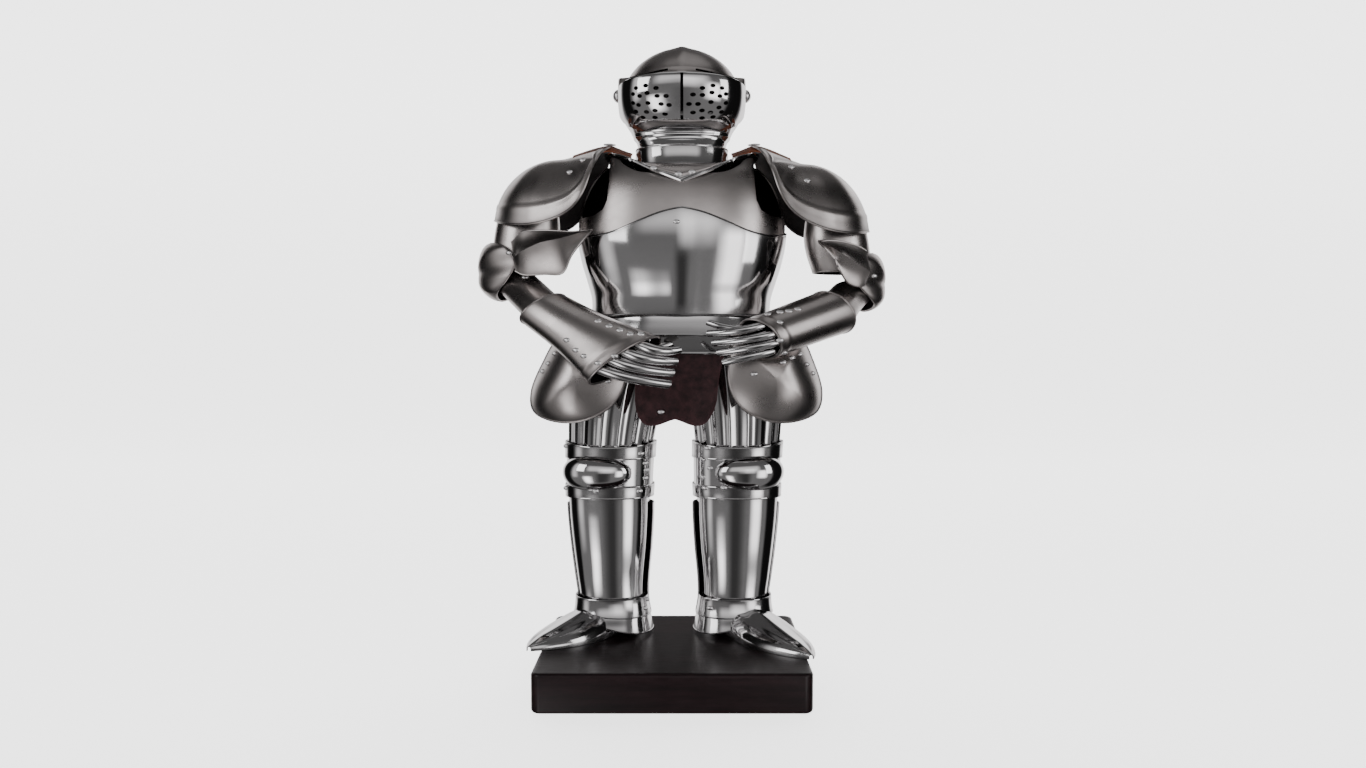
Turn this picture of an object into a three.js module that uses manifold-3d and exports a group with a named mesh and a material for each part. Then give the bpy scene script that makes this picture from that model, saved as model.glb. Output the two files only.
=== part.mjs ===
// A suit of plate armour that stands by itself on a wooden base.
// Millimetres, +Z up. The suit faces -Y, and +X is the wearer's left.
// The origin is the middle of the base's underside.
// Every plate is a thin wall: an outer face worked out from named sizes, and an inner face inside it.

import * as THREE from 'three';
import { mergeVertices } from 'three/addons/utils/BufferGeometryUtils.js';
import Module from 'manifold-3d';

const wasm = await Module();
wasm.setup();

// Driving dimensions

const WALL = 1.2;
const LEATHER = 2;
const WIDEN = 1.55; // round limbs are this much wider, side to side, than they are deep
const BASE = { width: 247, depth: 180, height: 35.6, corner: 9, edge: 3 };
const LEAN = { low: 180, high: 400, shift: 8.5 }; // the body stands a little to its left above the knees
const TORSO_Y = 48;
const LEG_Y = 42;
const SQUARE = 2.3; // how square the body's rings are, where 2 is an ellipse

// The helmet turns on a cross axis through its two side pivots
const PIVOT = { y: 45, z: 565 };
const SKULL = { half: 57, radius: 45, square: 2, lowHalf: 58.5, lowSquare: 3 };
const VISOR = { half: 62.6, radius: 49.4, square: 3, keel: 5.5, top: 18, bottom: -39, ear: 17.5 };
const PIN = { stem: 3.4, hole: 5.2, head: 6.2, tip: 68, seat: 51.5 };
const SIGHT = { height: 2, inner: 13, outer: 43, innerUp: 12.6, outerUp: 8.4 };
const SLOT = { width: 2.8, low: -32, high: 8 };

// Small helpers

const { degToRad: rad, lerp } = THREE.MathUtils;
const signedPower = (value, power) => Math.sign(value) * Math.abs(value) ** power;
const always = (value) => () => value;

// Rows with named columns: the first column is the place of the row.
function table(columns, rows) {
  const names = columns.split(' ');
  return rows.map((row) => Object.fromEntries(names.map((name, i) => [name, row[i]])));
}

// The values at any place of a table, on a smooth cubic through its rows.
function sample(rows, place) {
  const [key, ...names] = Object.keys(rows[0]);
  const last = rows.length - 1;
  const here = THREE.MathUtils.clamp(place, rows[0][key], rows[last][key]);
  let i = 0;
  while (i < last - 1 && here > rows[i + 1][key]) i += 1;
  const [a, b] = [rows[i], rows[i + 1]];
  const before = rows[Math.max(i - 1, 0)];
  const after = rows[Math.min(i + 2, last)];
  const span = b[key] - a[key];
  const t = (here - a[key]) / span;
  const values = {};
  for (const name of names) {
    const start = ((b[name] - before[name]) / (b[key] - before[key])) * span;
    const end = ((after[name] - a[name]) / (after[key] - a[key])) * span;
    values[name] = a[name] * (1 + 2 * t) * (1 - t) ** 2 + start * t * (1 - t) ** 2
      + b[name] * t * t * (3 - 2 * t) - end * t * t * (1 - t);
  }
  return values;
}

// A point on a smooth closed curve through the given points, u from 0 to 1 all round.
function around(points, u) {
  const count = points.length;
  const place = (u % 1) * count;
  const i = Math.floor(place);
  const t = place - i;
  const [p, q, r, s] = [-1, 0, 1, 2].map((step) => points[(i + step + count) % count]);
  const blend = (k) => q[k] + 0.5 * t * (r[k] - p[k]
    + t * (2 * p[k] - 5 * q[k] + 4 * r[k] - s[k] + t * (3 * (q[k] - r[k]) + s[k] - p[k])));
  return new THREE.Vector3(blend(0), blend(1), blend(2));
}

// A closed wall from a grid of outer points: surface(u, v), u across and v along, both 0 to 1.
// closed joins the last column to the first, and pole makes the row at v = 0 one point.
// outward, where it is given, is a direction that the outer face mostly looks in.
function plate(surface, { across, along, wall = WALL, closed = false, pole = false, outward = null }) {
  const columns = closed ? across : across + 1;
  const first = pole ? 1 : 0;
  const index = (i, j) => (pole && j === 0 ? 0 : first + (j - first) * columns + (i % columns));
  const points = pole ? [surface(0, 0)] : [];
  for (let j = first; j <= along; j += 1) {
    for (let i = 0; i < columns; i += 1) points.push(surface(i / across, j / along));
  }
  let faces = [];
  for (let j = 0; j < along; j += 1) {
    for (let i = 0; i < across; i += 1) {
      const [a, b, c, d] = [index(i, j), index(i + 1, j), index(i + 1, j + 1), index(i, j + 1)];
      if (a !== b) faces.push([a, b, c]);
      faces.push([a, c, d]);
    }
  }
  const centre = points.reduce((sum, p) => sum.add(p), new THREE.Vector3()).divideScalar(points.length);
  const normals = points.map(() => new THREE.Vector3());
  let facing = 0;
  for (const [a, b, c] of faces) {
    const edge = points[b].clone().sub(points[a]);
    const normal = edge.cross(points[c].clone().sub(points[a]));
    for (const corner of [a, b, c]) normals[corner].add(normal);
    facing += normal.dot(outward ?? points[a].clone().sub(centre));
  }
  if (facing < 0) {
    faces = faces.map(([a, b, c]) => [a, c, b]);
    for (const normal of normals) normal.negate();
  }
  const inner = points.map((p, k) => p.clone().addScaledVector(normals[k].normalize(), -wall));
  const count = points.length;
  const edges = new Set(faces.flatMap(([a, b, c]) => [`${a} ${b}`, `${b} ${c}`, `${c} ${a}`]));
  const triangles = [...faces, ...faces.map(([a, b, c]) => [a + count, c + count, b + count])];
  for (const edge of edges) {
    const [a, b] = edge.split(' ').map(Number);
    if (edges.has(`${b} ${a}`)) continue;
    triangles.push([b, a, a + count], [b, a + count, b + count]);
  }
  return indexed([...points, ...inner].flatMap((p) => p.toArray()), triangles.flat());
}

function indexed(positions, triangles) {
  const geometry = new THREE.BufferGeometry();
  geometry.setAttribute('position', new THREE.Float32BufferAttribute(positions, 3));
  geometry.setIndex(triangles);
  return geometry;
}

// An upright ring's point. Azimuth 0 looks to the front and 90 to the wearer's left.
function ringPoint(section, azimuth, square, grow) {
  const across = Math.sin(rad(azimuth));
  const ahead = Math.cos(rad(azimuth));
  const depth = (ahead > 0 ? section.front : section.back) + grow;
  return [
    section.x + (section.half + grow) * signedPower(across, 2 / square),
    section.y - depth * signedPower(ahead, 2 / square),
  ];
}

// A band or half band through the rings of a table, between two azimuths and two heights.
function hoop(rows, options) {
  const { arc, bottom, top, grow = 0, square = SQUARE, relief = always(0), ...grid } = options;
  const surface = (u, v) => {
    const azimuth = arc[0] + (arc[1] - arc[0]) * u;
    const low = bottom(azimuth);
    const z = low + (top(azimuth) - low) * v;
    const [x, y] = ringPoint(sample(rows, z), azimuth, square, grow + relief(azimuth, z));
    return new THREE.Vector3(x, y, z);
  };
  return plate(surface, { closed: arc[1] - arc[0] === 360, ...grid });
}

// A domed plate: elliptical curves run from the crown, which looks in the facing direction, to the border.
// steep is the angle through which they turn, 90 for an edge that ends square to the border's plane.
// A curve that runs up to the border instead of down is straight.
function dish(border, { crown, facing, steep = 90, ...grid }) {
  const top = new THREE.Vector3(...crown);
  const axis = new THREE.Vector3(...facing).normalize();
  const surface = (u, v) => {
    const offset = around(border, u).sub(top);
    const rise = axis.clone().multiplyScalar(offset.dot(axis));
    const flat = offset.sub(rise);
    const angle = rad(steep) * v;
    const straight = THREE.MathUtils.smoothstep(rise.dot(axis), -12, 4);
    flat.multiplyScalar(lerp(Math.sin(angle) / Math.sin(rad(steep)), v, straight));
    rise.multiplyScalar(lerp((1 - Math.cos(angle)) / (1 - Math.cos(rad(steep))), v, straight));
    return top.clone().add(flat).add(rise);
  };
  return plate(surface, { closed: true, pole: true, outward: axis, ...grid });
}

// The axes of a limb that is round before it is widened: along it, up its wide side, out of its flat side.
function limbFrame({ from, to, wideSide }) {
  const narrow = (p) => new THREE.Vector3(p[0] / WIDEN, p[1], p[2]);
  const start = narrow(from);
  const run = narrow(to).sub(start);
  const along = run.clone().normalize();
  const wide = new THREE.Vector3(...wideSide);
  wide.addScaledVector(along, -wide.dot(along)).normalize();
  const flat = along.clone().cross(wide);
  if (flat.y > 0) flat.negate();
  return { start, run, along, wide, flat };
}

// A point of a limb: t along it, and two offsets in its section.
function limbPoint(frame, t, wide, flat) {
  const point = frame.start.clone().addScaledVector(frame.run, t);
  point.addScaledVector(frame.wide, wide).addScaledVector(frame.flat, flat);
  point.x *= WIDEN;
  return point;
}

function tube(limb, rows, grid) {
  const frame = limbFrame(limb);
  const [first, last] = [rows[0].t, rows.at(-1).t];
  const surface = (u, v) => {
    const t = first + (last - first) * v;
    const section = sample(rows, t);
    return limbPoint(frame, t, section.wide * Math.cos(rad(360 * u)), section.flat * Math.sin(rad(360 * u)));
  };
  return plate(surface, { closed: true, ...grid });
}

// Solids for cuts

function solidOf(geometry) {
  const bare = new THREE.BufferGeometry();
  bare.setAttribute('position', geometry.getAttribute('position').clone());
  if (geometry.index) bare.setIndex(geometry.index.clone());
  const merged = mergeVertices(bare, 1e-4);
  return new wasm.Manifold(new wasm.Mesh({
    numProp: 3,
    vertProperties: new Float32Array(merged.getAttribute('position').array),
    triVerts: new Uint32Array(merged.index.array),
  }));
}

function geometryOf(solid) {
  const mesh = solid.getMesh();
  const positions = [];
  for (let k = 0; k < mesh.numVert; k += 1) {
    positions.push(...mesh.vertProperties.slice(k * mesh.numProp, k * mesh.numProp + 3));
  }
  return indexed(positions, [...mesh.triVerts]);
}

// A side outline of the helmet, ahead of and above the pivot, pushed right through from side to side.
function sidePrism(shape) {
  const reach = 80;
  const prism = new THREE.ExtrudeGeometry(shape, {
    depth: 2 * reach, bevelEnabled: false, curveSegments: 10,
  });
  const axes = new THREE.Matrix4().makeBasis(
    new THREE.Vector3(0, -1, 0), new THREE.Vector3(0, 0, 1), new THREE.Vector3(-1, 0, 0),
  );
  prism.applyMatrix4(axes.setPosition(reach, PIVOT.y, PIVOT.z));
  return solidOf(prism);
}

const parts = new THREE.Group();

const steel = (color, roughness) => new THREE.MeshStandardMaterial({ color, metalness: 1, roughness });
const MIRROR_STEEL = steel(0xc4c4c6, 0.12);
const SATIN_STEEL = steel(0x9a918e, 0.28);
const BROWN_LEATHER = new THREE.MeshStandardMaterial({ color: 0x4a2418, roughness: 0.6 });
const DARK_WOOD = new THREE.MeshStandardMaterial({ color: 0x1c0a0c, roughness: 0.35 });

const lean = (z) => LEAN.shift * THREE.MathUtils.smoothstep(z, LEAN.low, LEAN.high);

// Names a piece of the suit and puts it in the part, leaning with the body.
function add(name, geometry, material) {
  const place = geometry.getAttribute('position');
  for (let k = 0; k < place.count; k += 1) place.setX(k, place.getX(k) + lean(place.getZ(k)));
  const mesh = new THREE.Mesh(geometry, material);
  mesh.name = name;
  parts.add(mesh);
}

// The wooden base

function woodenBase() {
  const { width, depth, height, corner, edge } = BASE;
  const [w, d] = [width / 2 - edge, depth / 2 - edge];
  const shape = new THREE.Shape();
  shape.moveTo(-w + corner, -d);
  shape.lineTo(w - corner, -d);
  shape.absarc(w - corner, -d + corner, corner, -Math.PI / 2, 0);
  shape.lineTo(w, d - corner);
  shape.absarc(w - corner, d - corner, corner, 0, Math.PI / 2);
  shape.lineTo(-w + corner, d);
  shape.absarc(-w + corner, d - corner, corner, Math.PI / 2, Math.PI);
  shape.lineTo(-w, -d + corner);
  shape.absarc(-w + corner, -d + corner, corner, Math.PI, 1.5 * Math.PI);
  const block = new THREE.ExtrudeGeometry(shape, {
    depth: height - 2 * edge, bevelThickness: edge, bevelSize: edge, bevelSegments: 1, curveSegments: 3,
  });
  return block.translate(0, 0, edge);
}
const base = new THREE.Mesh(woodenBase(), DARK_WOOD);
base.name = 'base';
parts.add(base);

// Helmet

// A whole shell turned about the cross axis: phi goes from side to side, and theta up from the front.
function turnedShell(size, hole, grid) {
  const narrowest = size(90);
  const widest = Math.acos((hole / narrowest.radius) ** (narrowest.square / 2));
  const surface = (u, v) => {
    const theta = 360 * u;
    const phi = widest * (2 * v - 1);
    const { half, radius, square, keel = 0 } = size(theta);
    const x = half * signedPower(Math.sin(phi), 2 / square);
    const reach = radius * Math.cos(phi) ** (2 / square) + keel * (1 - Math.abs(x) / half);
    return new THREE.Vector3(
      x, PIVOT.y - reach * Math.cos(rad(theta)), PIVOT.z + reach * Math.sin(rad(theta)),
    );
  };
  return solidOf(plate(surface, { closed: true, ...grid }));
}

const SKULL_EDGE = { ahead: 40, brow: 7, cheek: -4, low: -33 };

function skull() {
  const size = (theta) => {
    const low = THREE.MathUtils.smoothstep(-Math.sin(rad(theta)), -0.35, 0.35);
    return {
      half: SKULL.half + (SKULL.lowHalf - SKULL.half) * low,
      radius: SKULL.radius,
      square: SKULL.square + (SKULL.lowSquare - SKULL.square) * low,
    };
  };
  const shell = turnedShell(size, PIN.hole, { across: 26, along: 12 });
  const kept = new THREE.Shape();
  kept.moveTo(-60, SKULL_EDGE.low);
  kept.lineTo(SKULL_EDGE.cheek, SKULL_EDGE.low);
  kept.lineTo(6, -8);
  kept.lineTo(SKULL_EDGE.ahead, SKULL_EDGE.brow);
  kept.lineTo(60, SKULL_EDGE.brow);
  kept.lineTo(60, 60);
  kept.lineTo(-60, 60);
  return geometryOf(shell.intersect(sidePrism(kept)));
}

// The visor's prow stands furthest forward just under the sights.
const PROW = table('theta keel', [
  [-180, 0], [-75, 0], [-50, 1.2], [-25, 3.6], [0, VISOR.keel], [9, VISOR.keel], [16, 2], [24, 0.6],
  [60, 0], [180, 0],
]);

function visor() {
  const size = (theta) => ({
    half: VISOR.half,
    radius: VISOR.radius,
    square: VISOR.square,
    keel: sample(PROW, theta > 180 ? theta - 360 : theta).keel,
  });
  const shell = turnedShell(size, PIN.hole, { across: 40, along: 14 });
  const outline = new THREE.Shape();
  outline.moveTo(0, VISOR.top - 4);
  outline.lineTo(20, VISOR.top - 2);
  outline.lineTo(60, VISOR.top);
  outline.lineTo(70, VISOR.top);
  outline.lineTo(70, VISOR.bottom);
  outline.lineTo(24, VISOR.bottom);
  outline.lineTo(4, -VISOR.ear - 3.5);
  outline.absarc(0, -3.5, VISOR.ear, -Math.PI / 2, -1.5 * Math.PI, true);
  let solid = shell.intersect(sidePrism(outline));
  const slot = new THREE.BoxGeometry(SLOT.width, 30, SLOT.high - SLOT.low);
  slot.translate(0, PIVOT.y - VISOR.radius, PIVOT.z + (SLOT.high + SLOT.low) / 2);
  solid = solid.subtract(solidOf(slot));
  for (const side of [-1, 1]) {
    const sight = new THREE.Shape();
    sight.moveTo(side * SIGHT.inner, SIGHT.innerUp);
    sight.lineTo(side * SIGHT.outer, SIGHT.outerUp);
    sight.lineTo(side * SIGHT.outer, SIGHT.outerUp + SIGHT.height);
    sight.lineTo(side * SIGHT.inner, SIGHT.innerUp + SIGHT.height);
    const cutter = new THREE.ExtrudeGeometry(sight, { depth: 60, bevelEnabled: false });
    cutter.rotateX(Math.PI / 2);
    cutter.translate(0, PIVOT.y - 5, PIVOT.z);
    solid = solid.subtract(solidOf(cutter));
  }
  return geometryOf(solid);
}

// A rivet through skull and visor: a stem with a domed head outside and a flat one inside.
function pivot(side) {
  const profile = [
    [0, PIN.seat - 1.4], [PIN.head, PIN.seat - 1.4], [PIN.head, PIN.seat], [PIN.stem, PIN.seat],
    [PIN.stem, VISOR.half + 0.3], [PIN.head, VISOR.half + 0.3], [PIN.head - 0.6, VISOR.half + 2.6],
    [PIN.head - 3, PIN.tip - 0.8], [0, PIN.tip],
  ].map(([r, x]) => new THREE.Vector2(r, x));
  const turned = new THREE.LatheGeometry(profile, 12);
  turned.rotateZ(side > 0 ? -Math.PI / 2 : Math.PI / 2);
  turned.translate(0, PIVOT.y, PIVOT.z);
  return geometryOf(solidOf(turned));
}

const NECK = table('z x y half front back', [
  [507, 0, 45, 42.5, 30.8, 30.6],
  [514, 0, 45, 43, 28.4, 30.6],
  [520, 0, 45, 45.4, 27, 32],
  [526, 0, 45, 48.4, 27.2, 33.5],
  [531, 0, 45, 51, 31.4, 35.2],
  [538, 0, 45, 55.6, 38, 38.3],
  [546, 0, 45, 58.9, 42.3, 42.6],
]);
const bevor = hoop(NECK, {
  arc: [-99, 99], bottom: always(507), top: always(541), square: 2.5, wall: 1, across: 14, along: 6,
});
const napePlate = hoop(NECK, {
  arc: [101, 259], bottom: always(507), top: always(537), square: 2.5, wall: 1, across: 12, along: 4,
});

add('skull', skull(), SATIN_STEEL);
add('visor', visor(), MIRROR_STEEL);
add('visor_pivot_right', pivot(-1), MIRROR_STEEL);
add('visor_pivot_left', pivot(1), MIRROR_STEEL);
add('bevor', bevor, MIRROR_STEEL);
add('nape_plate', napePlate, MIRROR_STEEL);

// Gorget

const COLLAR = table('z x y half front back', [
  [490, 0, 45, 47.5, 37.5, 37.5],
  [500, 0, 45, 46, 34.8, 34.8],
  [511, 0, 45, 45.2, 33.4, 33.4],
]);
const collarBottom = (azimuth) => 494.5 - 3 * Math.cos(rad(azimuth));
add('gorget_collar', hoop(COLLAR, {
  arc: [0, 360], bottom: collarBottom, top: always(511), square: 2.3, across: 24, along: 2,
}), MIRROR_STEEL);

// The gorget's yoke: its neck edge and its outer border, by azimuth from the front round to the back.
const YOKE = table('azimuth neckX neckY neckZ edgeX edgeY edgeZ', [
  [0, 0, 6, 492.6, 0, -11.9, 473.2],
  [30, 28.4, 11.8, 493.2, 27, -8.1, 484.2],
  [60, 44.6, 26, 496, 54, 8, 498.4],
  [90, 48.8, 45, 499.5, 74, 40, 506],
  [120, 44.6, 65, 500, 66, 79, 501],
  [150, 28.4, 79, 499, 34, 99, 487],
  [180, 0, 84.2, 498.5, 0, 104.5, 479],
]);
function yokePoint(u, v) {
  const azimuth = 360 * u;
  const row = sample(YOKE, azimuth > 180 ? 360 - azimuth : azimuth);
  const side = azimuth > 180 ? -1 : 1;
  const out = Math.sin(rad(90 * v));
  const down = 1 - Math.cos(rad(90 * v));
  return new THREE.Vector3(
    side * (row.neckX + (row.edgeX - row.neckX) * out),
    row.neckY + (row.edgeY - row.neckY) * out,
    row.neckZ + (row.edgeZ - row.neckZ) * down,
  );
}
add('gorget_plate', plate(yokePoint, {
  across: 24, along: 4, closed: true, outward: new THREE.Vector3(0, 0, 1),
}), MIRROR_STEEL);

// Body

const torsoRow = (z, half, front, back) => [z, 0, TORSO_Y, half, front, back];
const TORSO = table('z x y half front back', [
  torsoRow(346, 86.5, 53.4, 46),
  torsoRow(365, 87, 55, 47),
  torsoRow(380, 91, 58, 49),
  torsoRow(400, 97, 61, 51.5),
  torsoRow(420, 101, 62.5, 54),
  torsoRow(440, 102, 62, 56),
  torsoRow(460, 100, 59.5, 56.5),
  torsoRow(480, 93, 54.5, 55),
  torsoRow(497, 82, 46, 51),
]);
// A soft ridge down the middle of the front
const ridge = (azimuth) => 1.6 * Math.exp(-((azimuth / 7) ** 2));
const mirroredRow = (rows) => (azimuth) => sample(rows, Math.abs(azimuth > 180 ? 360 - azimuth : azimuth));

const BREAST_TOP = mirroredRow(table('azimuth z', [
  [0, 480], [22, 483], [40, 489], [58, 487], [72, 468], [84, 449], [97, 445],
]));
const BACK_TOP = mirroredRow(table('azimuth z', [
  [83, 445], [97, 449], [110, 468], [124, 487], [142, 490], [160, 484], [180, 480],
]));
const PLACKART_TOP = mirroredRow(table('azimuth z', [
  [0, 448], [9, 443.5], [20, 436], [34, 427.5], [50, 424], [70, 426], [97, 432],
]));

add('breastplate', hoop(TORSO, {
  arc: [-97, 97], bottom: always(374), top: (a) => BREAST_TOP(a).z, relief: ridge, across: 20, along: 7,
}), SATIN_STEEL);
add('plackart', hoop(TORSO, {
  arc: [-97, 97], bottom: always(349), top: (a) => PLACKART_TOP(a).z, grow: 1.65, relief: ridge,
  across: 20, along: 5,
}), MIRROR_STEEL);
add('backplate', hoop(TORSO, {
  arc: [84, 276], bottom: always(350), top: (a) => BACK_TOP(a).z, grow: -2.1, across: 16, along: 6,
}), SATIN_STEEL);

// Two hip hoops hang one under the other below the belly plate.
const FAULD_UPPER = table('z x y half front back', [
  [330, 0, TORSO_Y, 90.5, 57.5, 49.5],
  [339, 0, TORSO_Y, 87, 55, 46],
  [348, 0, TORSO_Y, 82.2, 52.9, 41.6],
  [354, 0, TORSO_Y, 81.2, 52.6, 40.9],
]);
const FAULD_LOWER = table('z x y half front back', [
  [313, 0, TORSO_Y, 96, 61.5, 54],
  [320, 0, TORSO_Y, 92.5, 58.8, 51],
  [329, 0, TORSO_Y, 88.6, 55.4, 47.3],
  [336, 0, TORSO_Y, 86, 53.4, 45],
]);
add('fauld_upper', hoop(FAULD_UPPER, {
  arc: [0, 360], bottom: always(330), top: always(354), across: 28, along: 2,
}), MIRROR_STEEL);
add('fauld_lower', hoop(FAULD_LOWER, {
  arc: [0, 360], bottom: always(313), top: always(336), across: 28, along: 2,
}), MIRROR_STEEL);

// A leather flap with two round lobes hangs inside the lower hoop.
const FLAP = table('z x y half front back', [
  [243, 0, TORSO_Y, 84, 54, 50],
  [290, 0, TORSO_Y, 87, 55.5, 50],
  [313, 0, TORSO_Y, 93.4, 58.9, 52],
  [322, 0, TORSO_Y, 89.6, 55.6, 48],
]);
const FLAP_BOTTOM = mirroredRow(table('azimuth z', [[0, 250], [10, 244], [18, 247], [22.5, 258], [24, 268]]));
add('brayette', hoop(FLAP, {
  arc: [-24, 24], bottom: (a) => FLAP_BOTTOM(a).z, top: always(322), wall: LEATHER, across: 12, along: 4,
}), BROWN_LEATHER);

// Shoulders and arms. Each side is worked out as the left one and mirrored where it needs to be.

const SIDES = [
  {
    name: 'right', side: -1, droop: 0, sleeve: 13.7, drop: 0, out: 1, room: 0, wingReach: 1,
    elbow: [-168, 44, 386], mouth: [-129, -6, 354], wrist: [-48.6, -40, 306.5], wideSide: [0.68, 0, 0.73],
    cuff: [[0, 18, 17], [0.5, 21.5, 17], [1, 29, 15.5]],
    finger: { radius: 4.9, pitch: 10.6, start: 17, tip: [-1.5, -38, 316], tipStep: [-2, 0, -10.4] },
    thumb: { offset: 17, under: -6, tip: [-4, -31, 326] },
  },
  {
    name: 'left', side: 1, droop: 0.1, sleeve: 16.2, drop: 10, out: 1, room: 9.5, wingReach: 0.64,
    elbow: [171, 44, 374], mouth: [143, 0, 351], wrist: [73, -38, 326], wideSide: [0, 0, 1],
    cuff: [[0, 21.5, 18.5], [0.5, 20.5, 18], [1, 19.5, 17]],
    finger: { radius: 3.9, pitch: 8.4, start: 12.6, tip: [27, -36, 331], tipStep: [5, 0, -8.8] },
    thumb: { offset: 9, under: -7, tip: [27, -27, 341] },
  },
];

const PAULDRON = [
  [70, 45, 514.5], [77, 14, 505], [84, -3, 488], [92, -11, 464], [104, -11, 448], [122, -8, 438.5],
  [146, -1, 434.5], [170, 14, 437], [185, 42, 443], [184, 72, 446], [160, 96, 441], [122, 104, 441],
  [92, 98, 470], [76, 76, 503],
];
const PAULDRON_CROWN = [121, 46, 502.5];

const REREBRACE = table('z x y half front back', [
  [402, 158.5, 45, 30, 22, 22],
  [420, 154, 45, 31.6, 22.2, 22.5],
  [436, 151.5, 45, 31.6, 22.5, 22.5],
  [456, 150, 45, 28.6, 21, 21],
]);

// The border of the elbow's cup. The fourth value is how much of the arm's room its forearm takes there.
const COUTER = [
  [189, 46, 421, 0], [172, 20.5, 416, 0], [160, 14.5, 400, 0.1], [166, 14, 385, 0.7], [179, 26, 370, 1],
  [178, 56, 364, 0.4], [166, 84, 378, 0], [172, 72, 414, 0],
];
const COUTER_CROWN = [201, 56, 389, 0];

const WING = [
  [165.5, 15.9, 418], [150.5, 10.5, 428], [126, 3, 428], [99, -3, 427], [85, -6, 427.5], [93, -4, 420],
  [104, -2, 406], [109, 0, 394], [115, 2, 388.4], [135, 5, 388], [150, 8.4, 386], [158.5, 13, 398],
];
const WING_CROWN = [122, -6, 408];
const WING_ROOT = 168;

// Where a point of the elbow lies on this side's arm
const setElbow = ({ side, out, drop, room }, [x, y, z, share = 0]) => [
  side * (x + out + room * share), y + 0.5 * room * share, z - drop,
];

function pauldron({ side, droop }) {
  const place = ([x, y, z]) => [side * x, y, z - droop * (x - 80)];
  return dish(PAULDRON.map(place), {
    crown: place(PAULDRON_CROWN), facing: [0, 0, 1], steep: 84, across: 20, along: 5,
  });
}

function rerebrace({ side, drop, out }) {
  const rows = REREBRACE.map((row) => ({ ...row, z: row.z - drop, x: side * (row.x + out) }));
  return hoop(rows, {
    arc: [0, 360], bottom: always(rows[0].z), top: always(rows.at(-1).z), square: 2, across: 16, along: 2,
  });
}

function couter(arm) {
  return dish(COUTER.map((p) => setElbow(arm, p)), {
    crown: setElbow(arm, COUTER_CROWN), facing: [arm.side * 0.9, 0.3, -0.1], steep: 88, across: 16, along: 4,
  });
}

function couterWing(arm) {
  const place = ([x, y, z]) => setElbow(arm, [WING_ROOT + (x - WING_ROOT) * arm.wingReach, y, z]);
  return dish(WING.map(place), {
    crown: place(WING_CROWN), facing: [0, -1, 0], steep: 62, across: 18, along: 3,
  });
}

const vambraceRows = (sleeve) => table('t wide flat', [
  [0.12, 13.6, 13.6], [0.6, 13.8, 13.8], [1.1, sleeve, sleeve],
]);
const limbOf = ({ mouth, wrist, wideSide }) => ({ from: mouth, to: wrist, wideSide });

// How far out of the middle of the cuff a finger may lie, for its round back to clear the cuff's wall.
function depthUnderCuff({ cuff, finger: { radius } }, offset) {
  const [, wide, flat] = cuff.at(-1);
  const clear = [-90, -60, -30, 0, 30, 60, 90].map((turn) => {
    const aside = (offset + radius * Math.sin(rad(turn))) / (wide - 1);
    return flat * Math.sqrt(1 - aside * aside) - WALL - 0.7 - radius * Math.cos(rad(turn));
  });
  return Math.min(...clear);
}

function finger(arm, number) {
  const { radius, pitch, start, tip, tipStep } = arm.finger;
  const frame = limbFrame(limbOf(arm));
  const offset = start - pitch * number;
  const under = depthUnderCuff(arm, offset);
  const root = limbPoint(frame, 0.93, offset, under);
  const bend = limbPoint(frame, 1.16, offset * 0.9, under);
  const end = new THREE.Vector3(...tip.map((value, k) => value + tipStep[k] * number));
  return fingerPlate(root, bend, end, frame.wide, radius);
}

// A half pipe along a bent finger, open on the side of the palm.
function fingerPlate(root, bend, tip, stack, radius) {
  const narrow = (p) => new THREE.Vector3(p.x / WIDEN, p.y, p.z);
  const path = new THREE.QuadraticBezierCurve3(narrow(root), narrow(bend), narrow(tip));
  const surface = (u, v) => {
    const along = path.getTangent(v);
    const across = stack.clone().addScaledVector(along, -stack.dot(along)).normalize();
    const out = along.cross(across);
    if (out.y > 0) out.negate();
    const angle = rad(-95 + 190 * u);
    const size = radius * (1 - 0.18 * v);
    const point = path.getPoint(v);
    point.addScaledVector(out, size * Math.cos(angle)).addScaledVector(across, size * Math.sin(angle));
    point.x *= WIDEN;
    return point;
  };
  return plate(surface, { across: 4, along: 3, wall: 1, outward: new THREE.Vector3(0, -1, 0) });
}

function thumb(arm) {
  const { offset, under, tip } = arm.thumb;
  const frame = limbFrame(limbOf(arm));
  const root = limbPoint(frame, 0.9, offset, under);
  const bend = limbPoint(frame, 1.12, offset, under);
  return fingerPlate(root, bend, new THREE.Vector3(...tip), frame.wide, arm.finger.radius);
}

const STRAP = [
  [50, 502.1], [58, 507.3], [64, 513], [69, 517.2], [78, 516.4], [88, 513.8], [98, 510.6], [106, 508],
];
const STRAP_HALF = 7;
function shoulderStrap({ side, droop }) {
  const place = ([x, z]) => new THREE.Vector3(side * x, 0, z - droop * Math.max(x - 80, 0));
  const path = new THREE.CatmullRomCurve3(STRAP.map(place));
  const surface = (u, v) => {
    const point = path.getPoint(v);
    point.y = 45 + STRAP_HALF * (2 * u - 1);
    return point;
  };
  return plate(surface, { across: 1, along: 9, wall: 1.6, outward: new THREE.Vector3(0, 0, 1) });
}

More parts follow.
